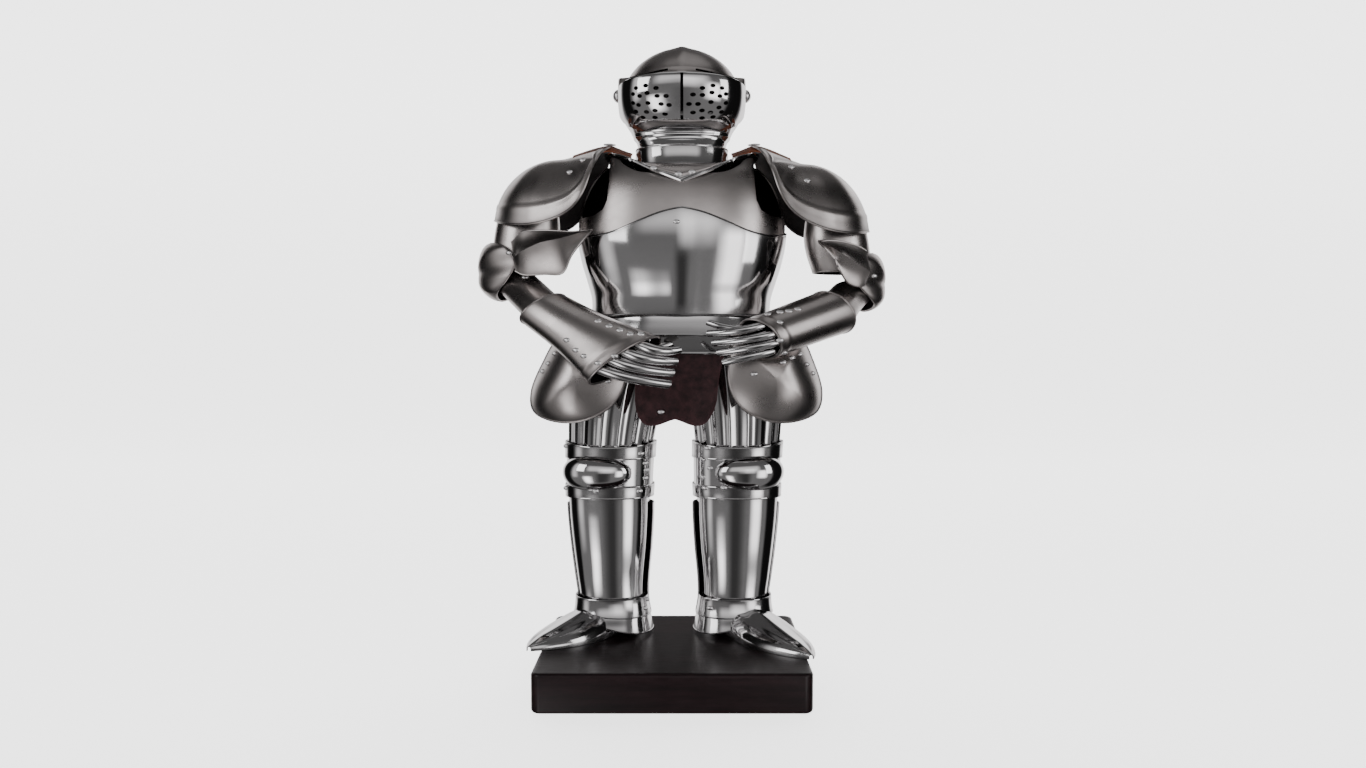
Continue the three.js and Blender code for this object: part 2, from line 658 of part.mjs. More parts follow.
for (const arm of SIDES) {
  const { name, elbow, mouth, wideSide } = arm;
  const forearm = { from: elbow, to: mouth, wideSide };
  add(`pauldron_${name}`, pauldron(arm), SATIN_STEEL);
  add(`rerebrace_${name}`, rerebrace(arm), SATIN_STEEL);
  add(`couter_${name}`, couter(arm), SATIN_STEEL);
  add(`couter_wing_${name}`, couterWing(arm), SATIN_STEEL);
  const wristRows = table('t wide flat', arm.cuff);
  add(`vambrace_${name}`, tube(forearm, vambraceRows(arm.sleeve), { across: 14, along: 2 }), SATIN_STEEL);
  add(`cuff_${name}`, tube(limbOf(arm), wristRows, { across: 16, along: 3 }), SATIN_STEEL);
  for (let number = 0; number < 4; number += 1) {
    add(`finger_${number + 1}_${name}`, finger(arm, number), MIRROR_STEEL);
  }
  add(`thumb_${name}`, thumb(arm), MIRROR_STEEL);
  add(`shoulder_strap_${name}`, shoulderStrap(arm), BROWN_LEATHER);
}

// Legs

const TASSET = [
  [52, -6.9, 325], [72, 3.2, 331], [96, 20, 332], [119, 26, 326], [132, 25, 303], [141, 21, 276],
  [136, 12, 256], [112, -1, 247.5], [84, -8, 250], [60, -10.5, 264], [48, -10, 290],
];
const TASSET_CROWN = [93, -17, 288];

const CUISSE = table('z x y half front back', [
  [208, 63, LEG_Y, 41.6, 28.5, 31],
  [222, 63, LEG_Y, 42, 29.5, 32],
  [262, 60, LEG_Y, 45, 33, 36],
  [300, 53, LEG_Y, 43.2, 34, 38],
  [324, 45.9, LEG_Y, 41.2, 33, 37],
]);
const POLEYN = table('z x y half front back', [
  [163, 63.5, LEG_Y, 41.5, 29.2, 32],
  [176, 63.3, LEG_Y, 42.6, 29.8, 33],
  [191, 63.1, LEG_Y, 42.8, 30, 33],
  [206, 63, LEG_Y, 43.2, 30.2, 33],
  [225, 63, LEG_Y, 43.8, 31.4, 34],
]);
const GREAVE = table('z x y half front back', [
  [54, 61, LEG_Y, 34, 24.5, 25.5],
  [70, 61.5, LEG_Y, 32, 22.5, 24.5],
  [90, 62.5, LEG_Y, 33.5, 22.8, 27],
  [120, 63, LEG_Y, 36.8, 25.6, 31.5],
  [150, 63.6, LEG_Y, 39.2, 27, 32.5],
  [172, 64, LEG_Y, 40, 27.4, 30.5],
]);

const FLUTES = { count: 9, depth: 1.5, arc: 81 };
// Hollow channels with sharp ridges between them, on the front of the thigh
function flutes(azimuth) {
  if (Math.abs(azimuth) > FLUTES.arc) return 0;
  const turn = (azimuth / FLUTES.arc + 1) / 2;
  return -FLUTES.depth * Math.abs(Math.sin(Math.PI * FLUTES.count * turn));
}

// The kneecap: a round dome on the front of the knee plate, turned a little outwards.
const KNEE = { azimuth: 16, spread: 44, z: 191.5, rise: 14.2, height: 10 };
function kneecap(azimuth, z) {
  const aside = (azimuth - KNEE.azimuth) / KNEE.spread;
  const up = (z - KNEE.z) / KNEE.rise;
  return KNEE.height * Math.sqrt(Math.max(0, 1 - aside * aside - up * up));
}

const FOOT = table('t half rise', [
  [0, 5, 13], [0.05, 11, 17.5], [0.14, 14.5, 20], [0.28, 16.5, 24.5], [0.4, 17.4, 26], [0.5, 18.4, 23.5],
  [0.62, 18.8, 18.8], [0.78, 15.8, 13], [0.92, 8.6, 8.4], [1, 1.6, 4.6],
]);
const FEET = {
  right: { heel: [-38, 70], toe: [-134, -29] },
  left: { heel: [42, 73], toe: [126, -52] },
};
const ANKLE = { halfX: 24, halfY: 15.5 };
const SOLE = BASE.height + 0.35;

function sabaton(name, side) {
  const { heel, toe } = FEET[name];
  const start = new THREE.Vector2(heel[0] / WIDEN, heel[1]);
  const run = new THREE.Vector2(toe[0] / WIDEN, toe[1]).sub(start);
  const aside = new THREE.Vector2(run.y, -run.x).normalize();
  const surface = (u, v) => {
    const t = v ** 1.15;
    const { half, rise } = sample(FOOT, t);
    const angle = rad(180 * u);
    const over = half * signedPower(Math.cos(angle), 0.85);
    return new THREE.Vector3(
      (start.x + run.x * t + aside.x * over) * WIDEN,
      start.y + run.y * t + aside.y * over,
      SOLE + rise * Math.sin(angle) ** 0.8,
    );
  };
  const shoe = solidOf(plate(surface, { across: 10, along: 11, outward: new THREE.Vector3(0, 0, 1) }));
  const opening = new THREE.Shape();
  opening.absellipse(side * 61.5, LEG_Y + 1, ANKLE.halfX, ANKLE.halfY, 0, 2 * Math.PI);
  const cutter = new THREE.ExtrudeGeometry(opening, { depth: 60, bevelEnabled: false, curveSegments: 7 });
  return geometryOf(shoe.subtract(solidOf(cutter.translate(0, 0, SOLE + 12))));
}

function leg(name, side) {
  const mirror = (rows) => rows.map((row) => ({ ...row, x: side * row.x }));
  const outwards = (azimuth) => side * azimuth;
  add(`tasset_${name}`, dish(TASSET.map(([x, y, z]) => [side * x, y, z]), {
    crown: [side * TASSET_CROWN[0], TASSET_CROWN[1], TASSET_CROWN[2]], facing: [0, -1, 0], steep: 64,
    across: 18, along: 4,
  }), SATIN_STEEL);
  add(`cuisse_${name}`, hoop(mirror(CUISSE), {
    arc: [0, 360], bottom: always(210), top: always(324), relief: (a) => flutes(a > 180 ? a - 360 : a),
    across: 40, along: 2,
  }), MIRROR_STEEL);
  const band = { arc: [-118, 118], across: 16, along: 1 };
  add(`poleyn_upper_${name}`, hoop(mirror(POLEYN), {
    ...band, bottom: always(208.5), top: (a) => 223 - 2 * Math.cos(rad(2 * a)), grow: 1.65,
  }), MIRROR_STEEL);
  add(`poleyn_${name}`, hoop(mirror(POLEYN), {
    ...band, bottom: always(172.5), top: always(210.5), relief: (a, z) => kneecap(outwards(a), z),
    across: 20, along: 8,
  }), MIRROR_STEEL);
  add(`poleyn_lower_${name}`, hoop(mirror(POLEYN), {
    ...band, bottom: always(164.5), top: always(174.5), grow: 1.65,
  }), MIRROR_STEEL);
  add(`greave_front_${name}`, hoop(mirror(GREAVE), {
    arc: [-94, 94], bottom: (a) => 58 + 8 * Math.cos(rad(a)) ** 2, top: always(172), across: 14, along: 4,
  }), MIRROR_STEEL);
  const calf = GREAVE.map((row) => ({ ...row, x: row.x - 1.5, half: row.half + 1.8 }));
  add(`greave_back_${name}`, hoop(mirror(calf), {
    arc: [87, 273], bottom: always(56), top: always(163.8), grow: 1.65, across: 14, along: 4,
  }), MIRROR_STEEL);
  add(`sabaton_${name}`, sabaton(name, side), MIRROR_STEEL);
}

leg('right', -1);
leg('left', 1);

export default parts;
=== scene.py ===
"""A suit of plate armour on a dark wooden base: the looks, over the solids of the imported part.

Shapes are worked out in millimetres, in the part's own frame, and stored in metres. The suit faces -Y,
+Z is up and +X is the suit's own left. Every plate is a surface of two parameters, u across it and v
along it, both from 0 to 1, computed on a whole grid at once.
"""

import bpy
import numpy as np
from bpy.props import FloatProperty, FloatVectorProperty, IntProperty, PointerProperty
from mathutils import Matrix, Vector
from mathutils.bvhtree import BVHTree


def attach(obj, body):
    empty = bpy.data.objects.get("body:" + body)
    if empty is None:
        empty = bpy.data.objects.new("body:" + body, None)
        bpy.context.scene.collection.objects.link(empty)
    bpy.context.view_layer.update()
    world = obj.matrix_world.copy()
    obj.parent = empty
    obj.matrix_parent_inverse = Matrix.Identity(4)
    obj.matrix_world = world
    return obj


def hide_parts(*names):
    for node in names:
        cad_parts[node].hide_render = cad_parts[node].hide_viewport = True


bl_info = {
    "name": "Suit of Plate Armour",
    "version": (1, 0, 0),
    "blender": (4, 5, 0),
    "location": "View3D > Sidebar > Armour",
    "description": "Builds a suit of plate armour, plate by plate, on its wooden base",
    "category": "Object",
}

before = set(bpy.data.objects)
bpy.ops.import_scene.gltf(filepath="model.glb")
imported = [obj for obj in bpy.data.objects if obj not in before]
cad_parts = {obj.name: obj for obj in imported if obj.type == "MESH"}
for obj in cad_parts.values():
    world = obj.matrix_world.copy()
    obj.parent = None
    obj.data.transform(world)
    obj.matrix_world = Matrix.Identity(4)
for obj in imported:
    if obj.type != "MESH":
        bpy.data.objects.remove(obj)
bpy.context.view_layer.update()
MM = 0.001

# Sizes shared by the plates, in millimetres
WALL = 1.2
WIDEN = 1.55
LEAN = {"low": 180, "high": 400, "shift": 8.5}
TORSO_Y = 48
LEG_Y = 42
PIVOT_Y, PIVOT_Z = 45, 565
BASE = {"width": 247, "depth": 180, "height": 35.6, "corner": 9, "edge": 3}
SOLE = BASE["height"] + 0.35

# The photograph's view: the camera's place, and how far ahead its picture plane lies in pixels
EYE = (9.6, -894.9, 320.3)
PITCH = 2.364
PICTURE = {"width": 1366, "height": 768, "ahead": 943.06}


# Numbers and tables

def table(columns, *rows):
    """Named columns from rows of numbers; the first column is the place of each row."""
    return dict(zip(columns.split(), np.array(rows, float).T))


def at(rows, place):
    """The values of a table at any places, on a cubic whose slope at a row is that of its neighbours."""
    key = next(iter(rows))
    knots = rows[key]
    here = np.clip(np.asarray(place, float), knots[0], knots[-1])
    i = np.clip(np.searchsorted(knots, here, side="left") - 1, 0, len(knots) - 2)
    before, after = np.maximum(i - 1, 0), np.minimum(i + 2, len(knots) - 1)
    span = knots[i + 1] - knots[i]
    t = (here - knots[i]) / span
    found = {}
    for name in list(rows)[1:]:
        value = rows[name]
        start = (value[i + 1] - value[before]) / (knots[i + 1] - knots[before]) * span
        end = (value[after] - value[i]) / (knots[after] - knots[i]) * span
        found[name] = (value[i] * (1 + 2 * t) * (1 - t) ** 2 + start * t * (1 - t) ** 2
                       + value[i + 1] * t * t * (3 - 2 * t) - end * t * t * (1 - t))
    return found


def around(points, u):
    """Points on a smooth closed curve (Catmull-Rom) through the given ones, u from 0 to 1 all round."""
    points = np.array(points, float)
    place = (np.asarray(u) % 1) * len(points)
    i = np.floor(place).astype(int)
    t = (place - i)[..., None]
    p, q, r, s = (points[(i + step) % len(points)] for step in (-1, 0, 1, 2))
    return q + 0.5 * t * (r - p + t * (2 * p - 5 * q + 4 * r - s + t * (3 * (q - r) + s - p)))


def unit(vectors):
    """Vectors divided by their lengths."""
    return vectors / np.maximum(np.linalg.norm(vectors, axis=-1, keepdims=True), 1e-9)


def power(value, exponent):
    """The value's size raised to the exponent, with its sign kept."""
    return np.sign(value) * np.abs(value) ** exponent


def smooth(value, low, high):
    """0 below low, 1 above high, and 3t^2 - 2t^3 between."""
    t = np.clip((value - low) / (high - low), 0, 1)
    return t * t * (3 - 2 * t)


def bump(value, middle, spread):
    """A bell curve: exp(-((value - middle) / spread)^2)."""
    return np.exp(-((value - middle) / spread) ** 2)


def lean(z):
    """How far the body stands to its left at a height: a smooth step between two heights."""
    return LEAN["shift"] * smooth(z, LEAN["low"], LEAN["high"])


def stacked(x, y, z):
    """Points from three arrays of coordinates."""
    return np.stack(np.broadcast_arrays(x, y, z), axis=-1)


# Meshes from arrays

class Form:
    """Points in millimetres, with four-sided and three-sided faces, a finish number for each face and a
    value from 0 to 1 for each point that says how near it is to a plate's edge."""

    def __init__(self, points, quads=(), triangles=(), quad_finish=0, triangle_finish=0, rim=0.0):
        self.points = np.asarray(points, float).reshape(-1, 3)
        self.quads = np.asarray(quads, int).reshape(-1, 4)
        self.triangles = np.asarray(triangles, int).reshape(-1, 3)
        self.quad_finish = np.array(np.broadcast_to(quad_finish, len(self.quads)))
        self.triangle_finish = np.array(np.broadcast_to(triangle_finish, len(self.triangles)))
        self.rim = np.array(np.broadcast_to(np.ravel(rim), len(self.points)), float)

    def __add__(self, other):
        shift = len(self.points)
        return Form(
            np.vstack([self.points, other.points]),
            np.vstack([self.quads, other.quads + shift]),
            np.vstack([self.triangles, other.triangles + shift]),
            np.concatenate([self.quad_finish, other.quad_finish]),
            np.concatenate([self.triangle_finish, other.triangle_finish]),
            np.concatenate([self.rim, other.rim]),
        )

    def moved(self, change):
        """The same faces on changed points."""
        return Form(change(self.points), self.quads, self.triangles, self.quad_finish,
                    self.triangle_finish, self.rim)

    def finished(self, number):
        """The same form with one finish all over."""
        return Form(self.points, self.quads, self.triangles, number, number, self.rim)


def leaning(form):
    """The form with each point shifted by the body's lean at its height."""
    return form.moved(lambda p: p + stacked(lean(p[:, 2]), 0 * p[:, 0], 0 * p[:, 0]))


def mesh_of(name, form):
    """A Blender mesh of a form, in metres, with its finish numbers and its rim values."""
    mesh = bpy.data.meshes.new(name)
    faces = form.quads.tolist() + form.triangles.tolist()
    mesh.from_pydata((form.points * MM).tolist(), [], faces)
    finish = np.concatenate([form.quad_finish, form.triangle_finish]).astype(np.int32)
    mesh.polygons.foreach_set("material_index", finish)
    mesh.polygons.foreach_set("use_smooth", np.ones(len(faces), bool))
    rim = mesh.attributes.new("rim", "FLOAT", "POINT")
    rim.data.foreach_set("value", form.rim.astype(np.float32))
    mesh.update()
    mesh.validate()
    return mesh


MADE = {}
LOOK = {"mirror_steel": "polished", "satin_steel": "brushed", "brown_leather": "leather", "dark_wood": "wooden"}


def piece(name, form, body, slot, finishes, nodes=(), sharp=38, leans=True):
    """Puts a form in the scene as a piece that rides a body and stands for CAD nodes."""
    mesh = mesh_of(f"{LOOK[slot]}_{name}", leaning(form) if leans else form)
    for finish in finishes:
        mesh.materials.append(FINISHES[finish]())
    mesh.set_sharp_from_angle(angle=np.radians(sharp))
    made = bpy.data.objects.new(mesh.name, mesh)
    MADE[name] = made
    bpy.context.scene.collection.objects.link(made)
    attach(made, body)
    if nodes:
        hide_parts(*nodes)
    return made


PLATE_FINISHES = {"mirror_steel": ["mirror", "inside"], "satin_steel": ["satin", "inside"]}


def steel(name, form, slot="mirror_steel", **more):
    """A steel plate of the suit, dark inside, that stands for the CAD node of its name."""
    return piece(name, form, "suit", slot, PLATE_FINISHES[slot], [name], **more)


def fans(first, low, high):
    """Triangles from the point numbered first to a ring, and from the next point to another ring."""
    count = len(low)
    return np.vstack([np.stack([np.full(count, first), np.roll(low, -1), low], 1),
                      np.stack([np.full(count, first + 1), high, np.roll(high, -1)], 1)])


def grid_faces(index, closed):
    """Quads of a grid of point numbers, rows by columns; closed joins the last column to the first."""
    right = np.roll(index, -1, axis=1) if closed else index[:, 1:]
    left = index if closed else index[:, :-1]
    return np.stack([left[:-1], right[:-1], right[1:], left[1:]], axis=-1).reshape(-1, 4)


def point_normals(points, quads, triangles):
    """The sum of the faces' area vectors at each point, made unit length."""
    total = np.zeros_like(points)
    a, b, c, d = (points[quads[:, k]] for k in range(4))
    flat = np.cross(c - a, d - b)
    for k in range(4):
        np.add.at(total, quads[:, k], flat)
    if len(triangles):
        a, b, c = (points[triangles[:, k]] for k in range(3))
        flat = np.cross(b - a, c - a)
        for k in range(3):
            np.add.at(total, triangles[:, k], flat)
    return unit(total)


def round_bar(path, normals, radius, closed, sides=8):
    """A round bar along a path: path + radius (cos a * normal + sin a * side), a from 0 to 360."""
    ahead, behind = np.roll(path, -1, 0), np.roll(path, 1, 0)
    if not closed:
        ahead[-1], behind[0] = path[-1], path[0]
    side = unit(np.cross(unit(ahead - behind), normals))
    turn = 2 * np.pi * np.arange(sides)[None, :, None] / sides
    rings = path[:, None] + radius * (np.cos(turn) * normals[:, None] + np.sin(turn) * side[:, None])
    index = np.arange(len(path) * sides).reshape(len(path), sides)
    quads = grid_faces(np.vstack([index, index[:1]]) if closed else index, True)
    # The rim value 0.35 gives the rolled bars part of the painted edge shade of the steel finishes.
    form = Form(rings, quads[:, ::-1], rim=0.35)
    if closed:
        return form
    count = len(form.points)
    ring, rolled = index[0], np.roll(index[0], -1)
    last, turned = index[-1], np.roll(index[-1], -1)
    caps = np.vstack([
        np.stack([np.full(sides, count), ring, rolled], 1),
        np.stack([np.full(sides, count + 1), turned, last], 1),
    ])
    return Form(np.vstack([form.points, path[:1], path[-1:]]), form.quads, caps, rim=0.35)


EDGE_LINES = {
    "low": (np.s_[0, :], False), "high": (np.s_[-1, :], False),
    "first": (np.s_[:, 0], True), "last": (np.s_[:, -1], True),
}


def edge_distance(points, closed, pole):
    """How far each grid point is from the plate's free edges, along the grid's own lines."""
    down = np.linalg.norm(np.diff(points, axis=0), axis=-1)
    down = np.vstack([np.zeros(points.shape[1]), np.cumsum(down, axis=0)])
    far = down[-1:] - down
    distance = far if pole else np.minimum(down, far)
    if not closed:
        over = np.linalg.norm(np.diff(points, axis=1), axis=-1)
        over = np.hstack([np.zeros((points.shape[0], 1)), np.cumsum(over, axis=1)])
        distance = np.minimum(distance, np.minimum(over, over[:, -1:] - over))
    return distance


def plate(surface, across, along, wall=WALL, closed=False, pole=False, outward=None, relief=None,
          beads=(), bead=1.2, inside=1, finish=None):
    """A wall with surface(u, v) as its outer face and, one wall inside it along the normals, its inner face.

    closed joins the last column to the first, pole makes the row v = 0 one point, relief(u, v) raises the
    outer face along its normals, beads names the edges that get a rolled bar, and finish(u, v) is the finish
    number of each place of the outer face, 0 where it is left out."""
    columns = across if closed else across + 1
    u, v = np.meshgrid(np.arange(columns) / across, np.arange(along + 1) / along)
    grid = surface(u, v)
    rows = along + 1
    index = np.arange(rows * columns).reshape(rows, columns)
    if pole:
        index[0] = index[0, 0]
        grid[0] = grid[0, 0]
    points = grid.reshape(-1, 3)
    quads = grid_faces(index, closed)
    shade = np.zeros(len(quads)) if finish is None else finish(u, v).ravel()[quads[:, 0]]
    triangles = np.zeros((0, 3), int)
    if pole:
        first = quads[:columns]
        triangles, quads, shade = first[:, [0, 2, 3]], quads[columns:], shade[columns:]
    normals = point_normals(points, quads, triangles)
    away = points - points.mean(axis=0) if outward is None else np.array(outward, float)[None]
    flip = float((normals * away).sum()) < 0
    if flip:
        quads, triangles, normals = quads[:, ::-1], triangles[:, ::-1], -normals
    # The rim value darkens steel near its edges as painted shade, and lightens leather there as wear.
    rim = np.exp(-edge_distance(grid, closed, pole) / 3.0).reshape(-1)
    outer = points
    if relief is not None:
        outer = points + normals * np.broadcast_to(relief(u, v), u.shape).reshape(-1, 1)
        if pole:
            outer = outer.reshape(rows, columns, 3)
            outer[0] = outer[0, 0]
            outer = outer.reshape(-1, 3)
    inner = points - normals * wall
    count = len(points)
    borders = []
    if not pole:
        borders.append(np.append(index[0], index[0, 0]) if closed else index[0])
    borders.append((np.append(index[-1], index[-1, 0]) if closed else index[-1])[::-1])
    if not closed:
        borders += [index[:, -1], index[::-1, 0]]
    rims = []
    for line in borders:
        line = line[::-1] if flip else line
        rims.append(np.stack([line[1:], line[:-1], line[:-1] + count, line[1:] + count], 1))
    rims = np.vstack(rims)
    form = Form(
        np.vstack([outer, inner]), np.vstack([quads, quads[:, ::-1] + count, rims]),
        np.vstack([triangles, triangles[:, ::-1] + count]),
        np.concatenate([shade, np.full(len(quads), inside), np.zeros(len(rims))]),
        np.concatenate([np.zeros(len(triangles)), np.full(len(triangles), inside)]),
        np.concatenate([rim, rim]),
    )
    form = without_loose_points(form)
    middles = (0.5 * (outer + inner)).reshape(rows, columns, 3)
    facing = normals.reshape(rows, columns, 3)
    for edge in beads:
        line, across_grid = EDGE_LINES[edge]
        form = form + round_bar(middles[line].copy(), facing[line].copy(), bead, closed and not across_grid)
    return form


def without_loose_points(form):
    """The form without the points that no face uses, such as the spare ones at a pole."""
    used = np.zeros(len(form.points), bool)
    used[form.quads.ravel()] = True
    used[form.triangles.ravel()] = True
    renumber = np.cumsum(used) - 1
    return Form(form.points[used], renumber[form.quads], renumber[form.triangles], form.quad_finish,
                form.triangle_finish, form.rim[used])


def ring(section, azimuth, square, grow):
    """A point of an upright ring: a superellipse round (x, y), azimuth 0 to the front and 90 to its left."""
    across, ahead = np.sin(np.radians(azimuth)), np.cos(np.radians(azimuth))
    depth = np.where(ahead > 0, section["front"], section["back"]) + grow
    x = section["x"] + (section["half"] + grow) * power(across, 2 / square)
    return x, section["y"] - depth * power(ahead, 2 / square)


def hoop(rows, arc, bottom, top, grow=0.0, square=2.3, swell=None, **grid):
    """A band through the rings of a table: the ring at height z, z from bottom to top of each azimuth."""
    def surface(u, v):
        azimuth = arc[0] + (arc[1] - arc[0]) * u
        low = bottom(azimuth) if callable(bottom) else bottom + 0 * u
        high = top(azimuth) if callable(top) else top + 0 * u
        z = low + (high - low) * v
        more = grow + (swell(azimuth, z) if swell else 0.0)
        x, y = ring(at(rows, z), azimuth, square, more)
        return stacked(x, y, z)
    return plate(surface, closed=arc[1] - arc[0] == 360, **grid)


def dish(border, crown, facing, steep=90.0, **grid):
    """A domed plate: from the crown to each point of the border runs a quarter ellipse, cut at the steep
    angle, and a straight line where the border lies above the crown."""
    crown, axis = np.array(crown, float), unit(np.array(facing, float))

    def surface(u, v):
        offset = around(border, u) - crown
        height = offset @ axis
        rise = height[..., None] * axis
        flat = offset - rise
        angle = np.radians(steep) * v
        straight = smooth(height, -12, 4)
        out = np.sin(angle) / np.sin(np.radians(steep))
        down = (1 - np.cos(angle)) / (1 - np.cos(np.radians(steep)))
        out, down = out + (v - out) * straight, down + (v - down) * straight
        return crown + flat * out[..., None] + rise * down[..., None]
    return plate(surface, closed=True, pole=True, outward=axis, **grid)


def limb_frame(start, end, wide_side):
    """The axes of a limb that is round before it is widened: its run, its wide side and its flat side."""
    narrow = np.array([1 / WIDEN, 1, 1])
    start, end = np.array(start, float) * narrow, np.array(end, float) * narrow
    run = end - start
    along = unit(run)
    wide = np.array(wide_side, float)
    wide = unit(wide - along * (wide @ along))
    flat = np.cross(along, wide)
    return start, run, wide, -flat if flat[1] > 0 else flat


def limb_point(limb, t, wide, flat):
    """Points of a limb, t along it, with two offsets in its section, widened at the end."""
    start, run, wide_axis, flat_axis = limb
    t, wide, flat = (np.asarray(k, float)[..., None] for k in (t, wide, flat))
    return (start + run * t + wide_axis * wide + flat_axis * flat) * np.array([WIDEN, 1, 1])


def tube(limb, rows, **grid):
    """An elliptical tube along a limb, through the sections of a table."""
    first, last = rows["t"][0], rows["t"][-1]

    def surface(u, v):
        t = first + (last - first) * v
        section = at(rows, t)
        turn = 2 * np.pi * u
        return limb_point(limb, t, section["wide"] * np.cos(turn), section["flat"] * np.sin(turn))
    return plate(surface, closed=True, **grid)


def prism(outline, to_points, near, far):
    """A closed prism: the outline at two depths, with a fan over each end."""
    outline = np.array(outline, float)
    count = len(outline)
    ends = [to_points(outline, depth) for depth in (near, far)]
    points = np.vstack([*ends, ends[0].mean(axis=0)[None], ends[1].mean(axis=0)[None]])
    i = np.arange(count)
    j = (i + 1) % count
    quads = np.stack([i, j, j + count, i + count], 1)
    caps = fans(2 * count, i, i + count)
    centre = points.mean(axis=0)
    corner = points[quads[:, :3]]
    outwards = np.cross(corner[:, 1] - corner[:, 0], corner[:, 2] - corner[:, 0])
    if ((corner.mean(axis=1) - centre) * outwards).sum() < 0:
        quads, caps = quads[:, ::-1], caps[:, ::-1]
    return Form(points, quads, caps)


def cut(made, cutters, how="DIFFERENCE"):
    """Cuts a form out of a piece, or keeps only what lies inside it, and keeps the result as plain mesh."""
    tool = bpy.data.objects.new("cutter", mesh_of("cutter", leaning(cutters)))
    for finish in made.data.materials:
        tool.data.materials.append(finish)
    bpy.context.scene.collection.objects.link(tool)
    modifier = made.modifiers.new("cut", "BOOLEAN")
    modifier.operation, modifier.solver, modifier.object = how, "MANIFOLD", tool
    shaped = made.evaluated_get(bpy.context.evaluated_depsgraph_get())
    mesh = bpy.data.meshes.new_from_object(shaped)
    if len(mesh.polygons) == 0:
        raise RuntimeError(f"nothing is left of {made.name} after a cut")
    old = made.data
    made.modifiers.clear()
    made.data = mesh
    bpy.data.meshes.remove(old)
    spent = tool.data
    bpy.data.objects.remove(tool)
    bpy.data.meshes.remove(spent)
    mesh.polygons.foreach_set("use_smooth", np.ones(len(mesh.polygons), bool))
    mesh.set_sharp_from_angle(angle=np.radians(38))


# Helmet

def turned_shell(size, hole, across, along, reshape, finish=None):
    """A whole shell turned about the cross axis: phi runs from side to side, theta up from the front.
    x = half sin(phi)^(2/square), and the reach from the axis is radius cos(phi)^(2/square) + keel; reshape
    changes both."""
    narrowest = size(np.array(90.0))
    widest = np.arccos((hole / narrowest["radius"]) ** (narrowest["square"] / 2))

    def surface(u, v):
        theta = 360 * u
        phi = widest * (2 * v - 1)
        s = size(theta)
        x = s["half"] * power(np.sin(phi), 2 / s["square"])
        reach = s["radius"] * np.cos(phi) ** (2 / s["square"]) + s["keel"] * (1 - np.abs(x) / s["half"])
        x, reach = reshape(x, reach, theta, phi)
        return stacked(x, PIVOT_Y - reach * np.cos(np.radians(theta)),
                       PIVOT_Z + reach * np.sin(np.radians(theta)))
    return plate(surface, across, along, closed=True, finish=finish)


def side_prism(outline):
    """A side outline of the helmet, ahead of and above the pivot, pushed through from side to side."""
    def place(points, x):
        return stacked(x, PIVOT_Y - points[:, 0], PIVOT_Z + points[:, 1])
    return prism(outline, place, -90, 90)


def skull_size(theta):
    """The bowl is a plain ellipsoid above and squarer and wider below."""
    low = smooth(-np.sin(np.radians(theta)), -0.35, 0.35)
    return {"half": 57 + 1.5 * low, "radius": 45 + 0 * theta, "square": 1.88 + 1.12 * low,
            "keel": 0 * theta}


def low_comb(x, theta):
    """A low rounded comb over the crown: a bell curve across, and a sine from front to back."""
    return 1.5 * bump(x, 0, 6) * np.maximum(0, np.sin(np.radians(theta)))


def brow(x, reach, theta, phi):
    """Above the crease under the sights, the visor follows the bowl: its section goes over to an ellipse."""
    share = smooth(np.where(theta > 180, 0, theta), 9.2, 11.6) * (1 - smooth(np.abs(phi), 0.96, 1.3))
    keel = 2.2 * (1 - np.abs(np.sin(phi))) * (1 - smooth(theta, 12, 24))
    return (x + (59.8 * np.sin(phi) - x) * share,
            reach + (48.2 * np.cos(phi) + keel - reach) * share)


PROW = table("theta keel", [-180, 0], [-75, 0], [-50, 1.2], [-25, 3.6], [0, 5.5], [9, 5.5], [16, 2], [24, 0.6],
             [60, 0], [180, 0])


def visor_size(theta):
    """The visor is square in plan, with a prow that stands furthest forward just under the sights."""
    signed = np.where(theta > 180, theta - 360, theta)
    one = 0 * theta + 1
    return {"half": 62.6 * one, "radius": 49.4 * one, "square": 3 * one, "keel": at(PROW, signed)["keel"]}


def arc_points(centre, radius, start, end, count):
    """Points on a circle's arc, angles in degrees from +X towards +Y."""
    turn = np.radians(np.linspace(start, end, count))
    return np.stack([centre[0] + radius * np.cos(turn), centre[1] + radius * np.sin(turn)], 1)


# Side outlines of the helmet in millimetres ahead of and above the pivot, and the holes for its pins
PIN_HOLE = 5.2
SKULL_OUTLINE = [(-60, -33), (-4, -33), (6, -8), (28, 12), (40, 16.5), (60, 16.5), (60, 60), (-60, 60)]
VISOR_OUTLINE = [(16, 12.5), (30, 12), (60, 19.5), (70, 19.5), (70, -39), (24, -39), (4, -21)]
EAR = {"centre": (0, -3.5), "radius": 17.5}
SLOT = {"half": 1.4, "low": -32, "high": 8}
BROW_CREASE = 10.2


def helmet_skull():
    """The bowl of the helmet, cut to the face opening, with a low comb over the top."""
    def crown(x, reach, theta, phi):
        return x, reach + low_comb(x, theta)
    made = piece("skull", turned_shell(skull_size, PIN_HOLE, 144, 80, crown), "suit", "satin_steel",
                 ["satin", "inside"], ["skull"])
    cut(made, side_prism(SKULL_OUTLINE), "INTERSECT")
    return made


SIGHT = {"inner": 13, "outer": 43, "inner_up": 11.8, "outer_up": 8.2, "height": 2.2}
BREATHS = {
    "right": [(636, 88), (645.5, 85.5), (656, 88), (633, 94), (639.5, 96), (647, 93), (657, 96), (666, 96),
              (633, 103), (638.5, 105), (648, 103), (661, 104), (669, 105), (636, 111.5), (646.5, 112),
              (655, 110.5), (665, 114), (643, 117.5), (655, 117.5)],
    "left": [(702.5, 88), (713, 85.5), (722, 88), (693, 94.5), (702.5, 95), (712, 92.5), (720, 96), (726, 94),
             (689, 104), (698, 104), (711, 102), (726, 103), (719, 107.5), (693, 112.5), (702, 110.5),
             (710.5, 112.5), (721.5, 112), (702, 118), (713, 117)],
}


